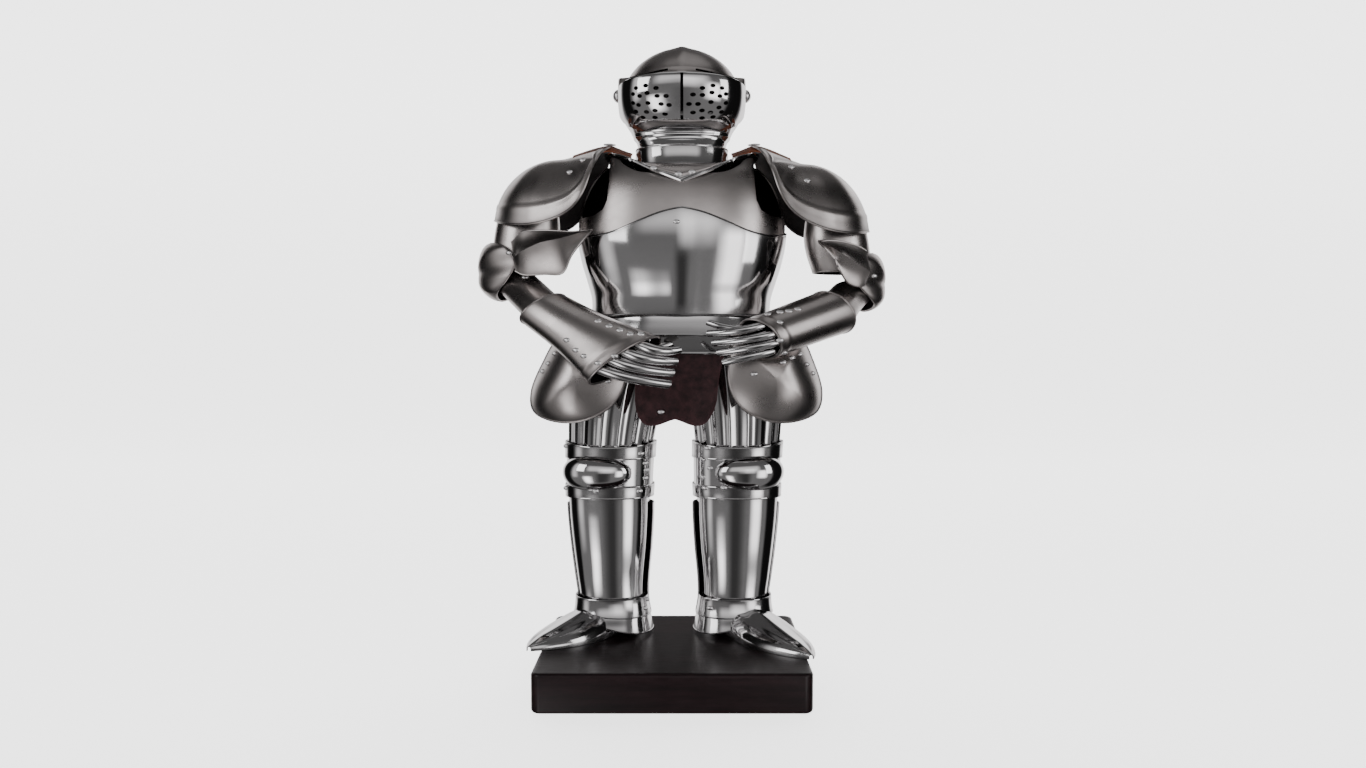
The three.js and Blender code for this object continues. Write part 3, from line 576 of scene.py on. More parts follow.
def ray_to(pixel):
    """The eye and the direction in which a pixel of the photograph is seen, in millimetres."""
    pitch = np.radians(PITCH)
    ahead = np.array([0, np.cos(pitch), -np.sin(pitch)])
    up = np.array([0, np.sin(pitch), np.cos(pitch)])
    right = (pixel[0] - PICTURE["width"] / 2) / PICTURE["ahead"]
    rise = (PICTURE["height"] / 2 - pixel[1]) / PICTURE["ahead"]
    return np.array(EYE), unit(ahead + right * np.array([1, 0, 0]) + rise * up)


def tree_of(made):
    """The search tree of a piece's own mesh."""
    mesh = made.data
    return BVHTree.FromPolygons([v.co for v in mesh.vertices], [p.vertices for p in mesh.polygons])


def landing(tree, start, direction):
    """Where a ray first meets a piece, and the way the face there looks, in millimetres."""
    place, normal, _, _ = tree.ray_cast(Vector(np.array(start) * MM), Vector(direction))
    if place is None:
        return None
    normal = np.array(normal)
    if normal @ np.array(direction) > 0:
        normal = -normal
    return np.array(place) / MM, normal


def studs(places, profile, sides, widen, finish=0):
    """Round heads: a profile of (radius, height) turned about each normal, widened along X."""
    profile = np.array(profile, float)
    spots = np.array([place for place, _ in places])
    normals = unit(np.array([normal for _, normal in places]))
    aside = np.cross(normals, np.array([0.0, 0.0, 1.0]) + 0 * normals)
    level = np.linalg.norm(aside, axis=1, keepdims=True) < 0.1
    aside = unit(np.where(level, np.array([1.0, 0, 0]), aside))
    upright = np.cross(aside, normals)
    turn = 2 * np.pi * np.arange(sides) / sides
    circle = (np.cos(turn)[None, :, None] * aside[:, None] + np.sin(turn)[None, :, None] * upright[:, None])
    rings = (profile[:, 0][None, :, None, None] * circle[:, None]
             + profile[:, 1][None, :, None, None] * normals[:, None, None])
    rings = rings.reshape(len(spots), -1, 3)
    ends = np.stack([normals * profile[0, 1], normals * profile[-1, 1]], 1)
    shape = np.concatenate([rings, ends], 1)
    shape[..., 0] *= widen
    points = (spots[:, None] + shape).reshape(-1, 3)
    levels = len(profile)
    index = np.arange(levels * sides).reshape(levels, sides)
    quads = grid_faces(index, True)[:, ::-1]
    ends = fans(levels * sides, index[0], index[-1])[:, ::-1]
    step = (np.arange(len(spots)) * (levels * sides + 2))[:, None, None]
    return Form(points, (quads + step).reshape(-1, 4), (ends + step).reshape(-1, 3), finish, finish)


def dome(radius, height, sunk=0.5):
    """The profile of a rivet's head: height sqrt(1 - (r / radius)^2) over a short sunk foot."""
    share = np.array([1, 0.97, 0.88, 0.7, 0.45, 0.18])
    rise = height * np.sqrt(1 - share ** 2)
    return [(radius * 0.96, -sunk)] + list(zip(radius * share, rise))


def helmet_visor(suit):
    """The visor: the turned shell cut to its side outline, its middle slot, its two sights and its breaths."""
    ear = arc_points(EAR["centre"], EAR["radius"], 270, 90, 40)

    def satin_brow(u, v):
        return 2 * ((u > BROW_CREASE / 360) & (u < 0.5))
    shell = turned_shell(visor_size, PIN_HOLE, 300, 110, brow, satin_brow)
    made = piece("visor", shell, "visor", "mirror_steel", ["mirror", "inside", "satin"], ["visor"])
    cut(made, side_prism(VISOR_OUTLINE + ear.tolist()), "INTERSECT")
    tree = tree_of(made)
    holes = []
    for pixel in BREATHS["right"] + BREATHS["left"]:
        found = landing(tree, *ray_to(pixel))
        if found:
            holes.append(found)
    radius = suit.breath * 550
    profile = [(radius, -7), (radius, 7)]
    shift = np.array([lean(PIVOT_Z), 0, 0])
    # The cutters carry finish 1, the dark inside finish, so the walls of the breath holes, the slot and the sights
    # are painted shade.
    breaths = studs([(spot - shift, normal) for spot, normal in holes], profile, 12, 1.5, finish=1)
    half, low, high = SLOT.values()

    def upright(p, y):
        return stacked(p[:, 0], y, PIVOT_Z + p[:, 1])
    slot = prism([(-half, low), (half, low), (half, high), (-half, high)], upright, -20, 15)
    cutters = breaths + slot.finished(1)
    for side in (-1, 1):
        s = SIGHT
        corners = [(side * s["inner"], s["inner_up"]), (side * s["outer"], s["outer_up"]),
                   (side * s["outer"], s["outer_up"] + s["height"]),
                   (side * s["inner"], s["inner_up"] + s["height"])]
        cutters = cutters + prism(corners, upright, -20, 40).finished(1)
    cut(made, cutters)
    return made


def turned_pin(side):
    """A side pivot: a profile of (radius, distance out) turned about the cross axis."""
    profile = np.array([(0.01, 50.1), (6.2, 50.1), (6.2, 51.5), (3.4, 51.5), (3.4, 62.9), (6.0, 62.9),
                        (6.2, 63.5), (5.9, 64.6), (4.9, 66.0), (3.4, 67.1), (1.8, 67.8), (0.01, 68.0)])

    def surface(u, v):
        at_row = v * (len(profile) - 1)
        i = np.minimum(at_row.astype(int), len(profile) - 2)
        share = (at_row - i)[..., None]
        r, x = np.moveaxis(profile[i] * (1 - share) + profile[i + 1] * share, -1, 0)
        turn = 2 * np.pi * u
        return stacked(side * x, PIVOT_Y + r * np.cos(turn), PIVOT_Z + r * np.sin(turn))
    u, v = np.meshgrid(np.arange(32) / 32, np.arange(len(profile)) / (len(profile) - 1))
    points = surface(u, v).reshape(-1, 3)
    index = np.arange(len(points)).reshape(len(profile), 32)
    quads = grid_faces(index, True)
    ends = np.array([[side * profile[0, 1], PIVOT_Y, PIVOT_Z], [side * profile[-1, 1], PIVOT_Y, PIVOT_Z]])
    form = Form(np.vstack([points, ends]), quads, fans(len(points), index[0], index[-1]))
    if side < 0:
        form = Form(form.points, form.quads[:, ::-1], form.triangles[:, ::-1])
    return form


NECK = table("z x y half front back", [507, 0, 45, 42.5, 30.8, 30.6], [514, 0, 45, 43, 28.4, 30.6],
             [520, 0, 45, 45.4, 27, 32], [526, 0, 45, 48.4, 27.2, 33.5], [531, 0, 45, 51, 31.4, 35.2],
             [538, 0, 45, 55.6, 38, 38.3], [546, 0, 45, 58.9, 42.3, 42.6])
COLLAR = table("z x y half front back", [490, 0, 45, 47.5, 37.5, 37.5], [500, 0, 45, 46, 34.8, 34.8],
               [511, 0, 45, 45.2, 33.4, 33.4])
YOKE = table("azimuth neckX neckY neckZ edgeX edgeY edgeZ",
             [0, 0, 6, 492.6, 0, -11.9, 473.2], [30, 28.4, 11.8, 493.2, 27, -8.1, 484.2],
             [60, 44.6, 26, 496, 54, 8, 498.4], [90, 48.8, 45, 499.5, 74, 40, 506],
             [120, 44.6, 65, 500, 66, 79, 501], [150, 28.4, 79, 499, 34, 99, 487],
             [180, 0, 84.2, 498.5, 0, 104.5, 479])


def yoke_surface(u, v):
    """The gorget plate: a quarter ellipse from the neck edge out and down to the border, at each azimuth."""
    azimuth = 360 * u
    row = at(YOKE, np.where(azimuth > 180, 360 - azimuth, azimuth))
    side = np.where(azimuth > 180, -1, 1)
    out, down = np.sin(np.radians(90 * v)), 1 - np.cos(np.radians(90 * v))
    return stacked(side * (row["neckX"] + (row["edgeX"] - row["neckX"]) * out),
                   row["neckY"] + (row["edgeY"] - row["neckY"]) * out,
                   row["neckZ"] + (row["edgeZ"] - row["neckZ"]) * down)


# Body

def torso_row(z, half, front, back):
    return [z, 0, TORSO_Y, half, front, back]


TORSO = table("z x y half front back", torso_row(346, 86.5, 53.4, 46), torso_row(365, 87, 55, 47),
              torso_row(380, 91, 58, 49), torso_row(400, 97, 61, 51.5), torso_row(420, 101, 62.5, 54),
              torso_row(440, 102, 62, 56), torso_row(460, 100, 59.5, 56.5), torso_row(480, 93, 54.5, 55),
              torso_row(497, 82, 46, 51), torso_row(504, 76, 42, 48.5))
BREAST_TOP = table("azimuth z", [0, 480], [22, 483], [36, 491], [46, 498], [60, 499], [72, 480], [84, 452],
                   [97, 445])
ARMHOLE = [(69, 530), (69, 474), (70.5, 457), (75, 448), (84, 443.5), (125, 441), (125, 530)]
BACK_TOP = table("azimuth z", [83, 445], [92, 460], [100, 486], [108, 497], [124, 500], [142, 494], [160, 486],
                 [180, 481])
PLACKART_TOP = table("azimuth z", [0, 448], [9, 443.5], [20, 436], [34, 427.5], [50, 424], [70, 426], [97, 432])
FAULD_UPPER = table("z x y half front back", [330, 0, TORSO_Y, 90.5, 57.5, 49.5],
                    [339, 0, TORSO_Y, 87, 55, 46], [348, 0, TORSO_Y, 82.2, 52.9, 41.6],
                    [354, 0, TORSO_Y, 81.2, 52.6, 40.9])
FAULD_LOWER = table("z x y half front back", [313, 0, TORSO_Y, 96, 61.5, 54],
                    [320, 0, TORSO_Y, 92.5, 58.8, 51], [329, 0, TORSO_Y, 88.6, 55.4, 47.3],
                    [336, 0, TORSO_Y, 86, 53.4, 45])
FLAP = table("z x y half front back", [243, 0, TORSO_Y, 84, 54, 50], [290, 0, TORSO_Y, 87, 55.5, 50],
             [313, 0, TORSO_Y, 93.4, 58.9, 52], [322, 0, TORSO_Y, 89.6, 55.6, 48])
FLAP_BOTTOM = table("azimuth z", [0, 250], [10, 244], [18, 247], [22.5, 258], [24, 268])


def mirrored(rows, name="z"):
    """A table's value by azimuth, the same on both sides of the front."""
    return lambda azimuth: at(rows, np.abs(np.where(azimuth > 180, 360 - azimuth, azimuth)))[name]


def breast_ridge(azimuth, z):
    """A soft upright ridge down the middle of the front."""
    return 1.6 * bump(azimuth, 0, 7)


# Arms

SIDES = (
    {"name": "right", "side": -1, "droop": 0, "sleeve": 13.7, "drop": 0, "out": 1, "room": 0,
     "elbow": (-168, 44, 386), "mouth": (-129, -6, 354), "wrist": (-48.6, -40, 306.5),
     "wide_side": (0.68, 0, 0.73), "cuff": table("t wide flat", [0, 18, 17], [0.5, 21.5, 17], [1, 29, 15.5]),
     "finger": {"radius": 4.9, "pitch": 10.6, "start": 17, "tip": (-1.5, -38, 316), "step": (-2, 0, -10.4)},
     "thumb": {"offset": 17, "under": -6, "tip": (-4, -31, 326)}},
    {"name": "left", "side": 1, "droop": 0.1, "sleeve": 16.2, "drop": 10, "out": 1, "room": 9.5,
     "elbow": (171, 44, 374), "mouth": (143, 0, 351), "wrist": (73, -38, 326),
     "wide_side": (0, 0, 1), "cuff": table("t wide flat", [0, 21.5, 18.5], [0.5, 20.5, 18], [1, 19.5, 17]),
     "finger": {"radius": 3.9, "pitch": 8.4, "start": 12.6, "tip": (27, -36, 331), "step": (5, 0, -8.8)},
     "thumb": {"offset": 9, "under": -7, "tip": (27, -27, 341)}},
)
PAULDRON = [(70, 45, 514.5), (77, 14, 505), (84, -3, 488), (92, -11, 464), (104, -11, 448), (122, -8, 438.5),
            (146, -1, 434.5), (170, 14, 437), (185, 42, 443), (184, 72, 446), (160, 96, 441), (122, 104, 441),
            (92, 98, 470), (76, 76, 503)]
PAULDRON_CROWN = (121, 46, 502.5)
REREBRACE = table("z x y half front back", [402, 158.5, 45, 30, 22, 22], [420, 154, 45, 31.6, 22.2, 22.5],
                  [436, 151.5, 45, 31.6, 22.5, 22.5], [456, 150, 45, 28.6, 21, 21])
COUTER = [(189, 46, 421, 0), (172, 20.5, 416, 0), (160, 14.5, 400, 0.1), (166, 14, 385, 0.7),
          (179, 26, 370, 1), (178, 56, 364, 0.4), (166, 84, 378, 0), (172, 72, 414, 0)]
COUTER_CROWN = (201, 56, 389, 0)
WINGS = {
    "right": ([(164, 15, 419), (151, 9, 428.5), (126, 2, 428.8), (104, -3, 427.2), (92, -5, 428),
               (84, -6, 428.5)],
              [(161, 10, 403), (152, 0, 408.5), (133, -8, 416), (115, -10.5, 419.5), (99, -9.5, 424),
               (84.6, -6.8, 428)],
              [(160, 13, 391), (150, 9, 387), (131, 5, 387.5), (113, 2, 388.5), (103, -2, 406),
               (85, -6.4, 427.4)]),
    "left": ([(178, 17, 411), (168, 12, 415.5), (152, 5, 418.8), (140, 0, 419.2), (134, -2.5, 418.9),
              (128.4, -4, 418)],
             [(180.3, 10, 390.4), (170, 4, 396), (156, -2, 403.5), (146, -5.5, 409), (137, -6, 413.5),
              (128.7, -4.6, 417.5)],
             [(176, 14, 377), (168.8, 10, 376), (158, 6, 380), (150, 2, 391), (144, -1, 402.8),
              (129, -4.4, 417)]),
}
STRAP = [(49, 510.5), (57, 513.2), (64, 516), (70, 518), (78, 517.4), (88, 515), (98, 511.8), (107, 508.8)]


def ridged(rows, hollow=1.6, **grid):
    """A fan with a crease: straight from the top line to the ridge line and on to the bottom line, with both
    halves hollowed by a sine."""
    steps = np.linspace(0, 1, len(rows[0]))
    lines = [table("t x y z", *((step, *point) for step, point in zip(steps, row))) for row in rows]

    def surface(u, v):
        top, ridge, bottom = (stacked(*(line[name] for name in "xyz")) for line in (at(k, u) for k in lines))
        share = (2 * np.where(v < 0.5, v, 1 - v))[..., None]
        edge = np.where(v[..., None] < 0.5, top, bottom)
        fade = hollow * np.sin(np.pi * share) * np.sin(np.pi * np.clip(u, 0, 1))[..., None] ** 0.5
        return edge + (ridge - edge) * share + fade * np.array([0, 1, 0])
    return plate(surface, outward=(0, -1, 0), **grid)


def set_elbow(arm, point):
    """Where a point of the elbow lies on this side's arm."""
    x, y, z, share = (*point, 0)[:4]
    return (arm["side"] * (x + arm["out"] + arm["room"] * share), y + 0.5 * arm["room"] * share,
            z - arm["drop"])


def sideways(rows, arm_side, x=0.0, z=0.0):
    """A table of rings shifted and mirrored to one side."""
    return {**rows, "z": rows["z"] + z, "x": arm_side * (rows["x"] + x)}


def depth_under_cuff(arm, offset):
    """How far out of the middle of the cuff a finger may lie, for its round back to clear the cuff's wall."""
    radius = arm["finger"]["radius"]
    wide, flat = arm["cuff"]["wide"][-1], arm["cuff"]["flat"][-1]
    turn = np.radians(np.arange(-90, 91, 30))
    aside = (offset + radius * np.sin(turn)) / (wide - 1)
    return np.min(flat * np.sqrt(1 - aside ** 2) - WALL - 0.7 - radius * np.cos(turn))


def in_gap(v, lames):
    """True in the short gap at the end of each lame but the last one."""
    return (v * lames % 1 > 0.91) & (v < 1 - 1 / lames)


def half_pipe(root, bend, tip, stack, radius, lames, step):
    """A finger: a half pipe along a bent path (a quadratic curve), whose radius falls by a sixth to the tip
    and by the step in the short gap before each lame: radius (1 - 0.18 v) (1 - step in gap)."""
    narrow = np.array([1 / WIDEN, 1, 1])
    root, bend, tip = (np.array(p, float) * narrow for p in (root, bend, tip))

    def surface(u, v):
        t = v[..., None]
        point = root * (1 - t) ** 2 + 2 * bend * t * (1 - t) + tip * t * t
        along = unit(2 * (1 - t) * (bend - root) + 2 * t * (tip - bend))
        across = unit(stack - along * (along @ stack)[..., None])
        out = np.cross(along, across)
        out = np.where(out[..., 1:2] > 0, -out, out)
        angle = np.radians(-95 + 190 * u)
        size = radius * (1 - 0.18 * v) * (1 - step * in_gap(v, lames))
        point = point + out * (size * np.cos(angle))[..., None] + across * (size * np.sin(angle))[..., None]
        return point * np.array([WIDEN, 1, 1])
    return surface


def lamed(surface, lames):
    """The thin wall of a finger, with the dark inside finish in the gaps between its lames as painted shade."""
    return plate(surface, 24, lames * 10, wall=1, outward=(0, -1, 0),
                 # The gaps take finish 1, the dark inside finish, as painted shade between the lames.
                 finish=lambda u, v: in_gap(v, lames) * 1)


# Legs

TASSET = [(52, -6.9, 325), (72, 3.2, 331), (96, 20, 332), (119, 26, 326), (132, 25, 303), (141, 21, 276),
          (136, 12, 256), (112, -1, 247.5), (84, -8, 250), (60, -10.5, 264), (48, -10, 290)]
TASSET_CROWN = (93, -17, 288)
CUISSE = table("z x y half front back", [208, 63, LEG_Y, 41.6, 28.5, 31], [222, 63, LEG_Y, 42, 29.5, 32],
               [262, 60, LEG_Y, 45, 33, 36], [300, 53, LEG_Y, 43.2, 34, 38], [324, 45.9, LEG_Y, 41.2, 33, 37])
POLEYN = table("z x y half front back", [163, 63.5, LEG_Y, 41.5, 29.2, 32], [176, 63.3, LEG_Y, 42.6, 29.8, 33],
               [191, 63.1, LEG_Y, 42.8, 30, 33], [206, 63, LEG_Y, 43.2, 30.2, 33],
               [225, 63, LEG_Y, 43.8, 31.4, 34])
GREAVE = table("z x y half front back", [54, 61, LEG_Y, 34, 24.5, 25.5], [70, 61.5, LEG_Y, 32, 22.5, 24.5],
               [90, 62.5, LEG_Y, 33.5, 22.8, 27], [120, 63, LEG_Y, 36.8, 25.6, 31.5],
               [150, 63.6, LEG_Y, 39.2, 27, 32.5], [172, 64, LEG_Y, 40, 27.4, 30.5])
FLUTES = {"count": 9, "depth": 2.1, "arc": 81}
KNEE = {"azimuth": 22, "spread": 50, "z": 196.5, "rise": 17, "height": 12}
ANKLE = table("z x y half front back", [36, 61, LEG_Y, 41, 36, 27], [46, 61, LEG_Y, 38.5, 32, 26.5],
              [56, 61, LEG_Y, 36.2, 27.5, 26], [66, 61.3, LEG_Y, 34.6, 25, 25.5], [76, 61.8, LEG_Y, 34, 24.2, 26])
FOOT = table("t half rise", [0, 5, 13], [0.05, 11, 17.5], [0.14, 14.5, 20], [0.28, 16.5, 24.5],
             [0.4, 17.4, 26], [0.5, 18.4, 23.5], [0.62, 18.8, 18.8], [0.78, 15.8, 13], [0.92, 8.6, 8.4],
             [1, 1.6, 4.6])
FEET = {"right": ((-38, 70), (-134, -29)), "left": ((42, 73), (126, -52))}


def flutes(azimuth):
    """Hollow channels with sharp ridges between them: -depth |sin(pi count turn)| across the front."""
    azimuth = np.where(azimuth > 180, azimuth - 360, azimuth)
    turn = (azimuth / FLUTES["arc"] + 1) / 2
    hollow = -FLUTES["depth"] * np.abs(np.sin(np.pi * FLUTES["count"] * turn))
    return np.where(np.abs(azimuth) > FLUTES["arc"], 0.0, hollow)


def kneecap(azimuth, z):
    """A round dome on the front of the knee plate: height sqrt(1 - aside^2 - up^2)."""
    aside = (azimuth - KNEE["azimuth"]) / KNEE["spread"]
    up = (z - KNEE["z"]) / KNEE["rise"]
    return KNEE["height"] * np.sqrt(np.maximum(0, 1 - aside ** 2 - up ** 2))


# Finishes

def new_group(name, inputs, outputs):
    """An empty shader node group with named inputs and outputs."""
    group = bpy.data.node_groups.new(name, "ShaderNodeTree")
    for label, kind, default in inputs:
        socket = group.interface.new_socket(label, in_out="INPUT", socket_type=kind)
        if default is not None:
            socket.default_value = default
    for label, kind in outputs:
        group.interface.new_socket(label, in_out="OUTPUT", socket_type=kind)
    return group, group.nodes.new("NodeGroupInput"), group.nodes.new("NodeGroupOutput")


def noise(tree, vector, stretch, scale, detail=3.0, rough=0.5):
    """A noise texture on a stretched copy of a vector."""
    mapping = tree.nodes.new("ShaderNodeMapping")
    mapping.inputs["Scale"].default_value = stretch
    texture = tree.nodes.new("ShaderNodeTexNoise")
    texture.inputs["Scale"].default_value = scale
    texture.inputs["Detail"].default_value = detail
    texture.inputs["Roughness"].default_value = rough
    tree.links.new(vector, mapping.inputs["Vector"])
    tree.links.new(mapping.outputs["Vector"], texture.inputs["Vector"])
    return texture.outputs["Fac"]


def calculate(tree, how, first, second):
    """One Math node on two sockets or numbers."""
    node = tree.nodes.new("ShaderNodeMath")
    node.operation = how
    for socket, value in zip(node.inputs, (first, second)):
        if isinstance(value, (int, float)):
            socket.default_value = value
        else:
            tree.links.new(value, socket)
    return node.outputs[0]


def mixed(tree, share, first, second):
    """A blend of two colours by a socket."""
    node = tree.nodes.new("ShaderNodeMix")
    node.data_type = "RGBA"
    tree.links.new(share, node.inputs["Factor"])
    for socket, value in ((node.inputs["A"], first), (node.inputs["B"], second)):
        if isinstance(value, bpy.types.NodeSocket):
            tree.links.new(value, socket)
        else:
            socket.default_value = value
    return node.outputs["Result"]


def ranged(tree, value, low, high, to_low, to_high):
    """A socket's range mapped to another, clamped."""
    node = tree.nodes.new("ShaderNodeMapRange")
    for name, given in (("Value", value), ("From Min", low), ("From Max", high), ("To Min", to_low),
                        ("To Max", to_high)):
        if isinstance(given, bpy.types.NodeSocket):
            tree.links.new(given, node.inputs[name])
        else:
            node.inputs[name].default_value = given
    return node.outputs["Result"]


def polish_group():
    """Hand-polished sheet: cloudy smudges and fine long scratches, as a colour, a roughness and a height.
    Rim darkens the sheet towards near black near its edges, a painted shade along the plate borders, and makes it
    rougher there."""
    name = "Polished Sheet"
    if name in bpy.data.node_groups:
        return bpy.data.node_groups[name]
    group, given, result = new_group(name, [
        ("Vector", "NodeSocketVector", None), ("Rim", "NodeSocketFloat", 0.0),
        ("Bright", "NodeSocketColor", (0.8, 0.8, 0.8, 1)), ("Dull", "NodeSocketColor", (0.6, 0.6, 0.6, 1)),
        ("Smoothest", "NodeSocketFloat", 0.08), ("Roughest", "NodeSocketFloat", 0.2),
        ("Dirt", "NodeSocketFloat", 0.4),
    ], [("Color", "NodeSocketColor"), ("Roughness", "NodeSocketFloat"), ("Height", "NodeSocketFloat")])
    vector = given.outputs["Vector"]
    clouds = noise(group, vector, (1, 1.6, 1.6), 22.0, 4.0, 0.55)
    scratches = noise(group, vector, (0.09, 1, 1), 900.0, 2.0, 0.6)
    hairs = noise(group, vector, (1, 1, 0.07), 700.0, 2.0, 0.6)
    cloudy = ranged(group, clouds, 0.35, 0.68, 0.0, 1.0)
    lines = calculate(group, "ADD", calculate(group, "MULTIPLY", scratches, 0.6),
                      calculate(group, "MULTIPLY", hairs, 0.4))
    edge_shade_mask = calculate(group, "MULTIPLY", given.outputs["Rim"], given.outputs["Dirt"])
    base = mixed(group, cloudy, given.outputs["Bright"], given.outputs["Dull"])
    # Near the plate edges the colour is blended towards near black: painted shade along the borders.
    colour = mixed(group, edge_shade_mask, base, (0.035, 0.03, 0.03, 1))
    group.links.new(colour, result.inputs["Color"])
    worn = ranged(group, calculate(group, "ADD", calculate(group, "MULTIPLY", cloudy, 0.6),
                                   calculate(group, "MULTIPLY", lines, 0.4)),
                  0.1, 0.85, given.outputs["Smoothest"], given.outputs["Roughest"])
    group.links.new(calculate(group, "ADD", worn, calculate(group, "MULTIPLY", edge_shade_mask, 0.25)),
                    result.inputs["Roughness"])
    group.links.new(lines, result.inputs["Height"])
    return group


def material(name, **values):
    """A new material with a Principled shader, its constants set on the shader's own sockets."""
    made = bpy.data.materials.new(name)
    made.use_nodes = True
    shader = made.node_tree.nodes["Principled BSDF"]
    for label, value in values.items():
        shader.inputs[label.replace("_", " ")].default_value = value
    return made, made.node_tree, shader


def object_vector(tree):
    """The Object coordinates of a Texture Coordinate node."""
    return tree.nodes.new("ShaderNodeTexCoord").outputs["Object"]


def rim_value(tree):
    """How near a point is to its plate's edge, from the mesh."""
    node = tree.nodes.new("ShaderNodeAttribute")
    node.attribute_name = "rim"
    return node.outputs["Fac"]


def raised(tree, height, shader, strength, distance):
    """A Bump node from a height socket to a shader's normal."""
    node = tree.nodes.new("ShaderNodeBump")
    node.inputs["Strength"].default_value = strength
    node.inputs["Distance"].default_value = distance
    tree.links.new(height, node.inputs["Height"])
    tree.links.new(node.outputs["Normal"], shader.inputs["Normal"])


def sheet_steel(name, bright, dull, smoothest, roughest, edge_shade, scratch):
    """Polished steel: metal whose colour, roughness and bump come from the Polished Sheet group, whose edge shade
    darkens the colour near the plate edges as painted shade.
    """
    if name in bpy.data.materials:
        return bpy.data.materials[name]
    made, tree, shader = material(name, Metallic=1.0)
    polish = tree.nodes.new("ShaderNodeGroup")
    polish.node_tree = polish_group()
    tree.links.new(object_vector(tree), polish.inputs["Vector"])
    tree.links.new(rim_value(tree), polish.inputs["Rim"])
    for label, value in (("Bright", (*bright, 1)), ("Dull", (*dull, 1)), ("Smoothest", smoothest),
                         ("Roughest", roughest), ("Dirt", edge_shade)):
        polish.inputs[label].default_value = value
    tree.links.new(polish.outputs["Color"], shader.inputs["Base Color"])
    tree.links.new(polish.outputs["Roughness"], shader.inputs["Roughness"])
    raised(tree, polish.outputs["Height"], shader, scratch, 0.0001)
    return made


def tinted(colour, factor):
    """A colour with every channel multiplied by a factor."""
    return tuple(min(1.0, c * factor) for c in colour)


# The sixth argument to sheet_steel in these finishes is the strength of the painted shade along the plate edges.
def mirror_finish():
    suit = bpy.context.scene.plate_armour
    return sheet_steel("mirror_polish", suit.mirror_colour, tinted(suit.mirror_colour, 0.9),
                       suit.mirror_roughness, suit.mirror_roughness + 0.06, 0.5, 0.05)


def satin_finish():
    suit = bpy.context.scene.plate_armour
    return sheet_steel("satin_polish", suit.satin_colour, tinted(suit.satin_colour, 0.82),
                       suit.satin_roughness, suit.satin_roughness + 0.1, 0.55, 0.16)


def rivet_finish():
    suit = bpy.context.scene.plate_armour
    return sheet_steel("rivet_steel", tinted(suit.mirror_colour, 1.25), tinted(suit.mirror_colour, 1.15), 0.3,
                       0.36, 0.0, 0.03)


def inside_finish():
    return sheet_steel("plate_inside", (0.10, 0.095, 0.095), (0.05, 0.045, 0.045), 0.42, 0.6, 0.2, 0.3)


def strap_finish():
    return leather("strap_leather", bpy.context.scene.plate_armour.leather_colour)


def flap_finish():
    return leather("flap_leather", bpy.context.scene.plate_armour.flap_colour, 0.15)


def leather(name, tone, shine=0.5):
    """Worn leather: a pebbled grain from cells, cloudy colour, lighter along the edges."""
    if name in bpy.data.materials:
        return bpy.data.materials[name]
    made, tree, shader = material(name, Specular_IOR_Level=shine)
    vector = object_vector(tree)
    cells = tree.nodes.new("ShaderNodeTexVoronoi")
    cells.feature = "DISTANCE_TO_EDGE"
    cells.inputs["Scale"].default_value = 1300
    tree.links.new(vector, cells.inputs["Vector"])
    clouds = noise(tree, vector, (1, 1, 1), 130, 4, 0.6)
    creases = noise(tree, vector, (1, 1, 3), 420, 4, 0.6)
    dark, light = tinted(tone, 0.45), tinted(tone, 1.3)
    colour = mixed(tree, ranged(tree, clouds, 0.35, 0.7, 0.0, 1.0), (*dark, 1), (*light, 1))
    worn = mixed(tree, calculate(tree, "MULTIPLY", rim_value(tree), 0.45), colour,
                 (*tinted(tone, 2.2), 1))
    tree.links.new(worn, shader.inputs["Base Color"])
    tree.links.new(ranged(tree, creases, 0.3, 0.7, 0.38, 0.62), shader.inputs["Roughness"])
    height = calculate(tree, "ADD", calculate(tree, "MINIMUM", cells.outputs["Distance"], 0.3),
                       calculate(tree, "MULTIPLY", creases, 0.6))
    raised(tree, height, shader, 0.55, 0.0004)
    return made


def wood_finish():
    """Stained wood under lacquer: long grain along X, faint colour streaks and a glossy coat."""
    name = "lacquered_wood"
    if name in bpy.data.materials:
        return bpy.data.materials[name]
    suit = bpy.context.scene.plate_armour
    made, tree, shader = material(name, Coat_Weight=0.12, Coat_Roughness=0.2,
                                  Specular_IOR_Level=0.22)
    vector = object_vector(tree)
    streaks = noise(tree, vector, (1.2, 14, 14), 9, 5, 0.6)
    grain = noise(tree, vector, (1, 22, 22), 55, 4, 0.65)
    both = calculate(tree, "ADD", calculate(tree, "MULTIPLY", streaks, 0.6),
                     calculate(tree, "MULTIPLY", grain, 0.4))
    colour = mixed(tree, ranged(tree, both, 0.36, 0.64, 0.0, 1.0), (*tinted(suit.wood_colour, 0.45), 1),
                   (*tinted(suit.wood_colour, 1.35), 1))
    tree.links.new(colour, shader.inputs["Base Color"])
    tree.links.new(ranged(tree, grain, 0.3, 0.7, 0.3, 0.46), shader.inputs["Roughness"])
    raised(tree, grain, shader, 0.12, 0.0003)
    return made


def floor_finish():
    """A plain pale floor, lit from below as a light table is."""
    made, tree, shader = material("pale_floor", Roughness=0.8, Emission_Strength=2.4)
    shader.inputs["Base Color"].default_value = (0.8, 0.8, 0.8, 1)
    shader.inputs["Emission Color"].default_value = (1, 1, 1, 1)
    return made


FINISHES = {
    "mirror": mirror_finish, "satin": satin_finish, "rivet": rivet_finish, "inside": inside_finish,
    "strap": strap_finish, "flap": flap_finish, "wood": wood_finish, "floor": floor_finish,
}


# Settings

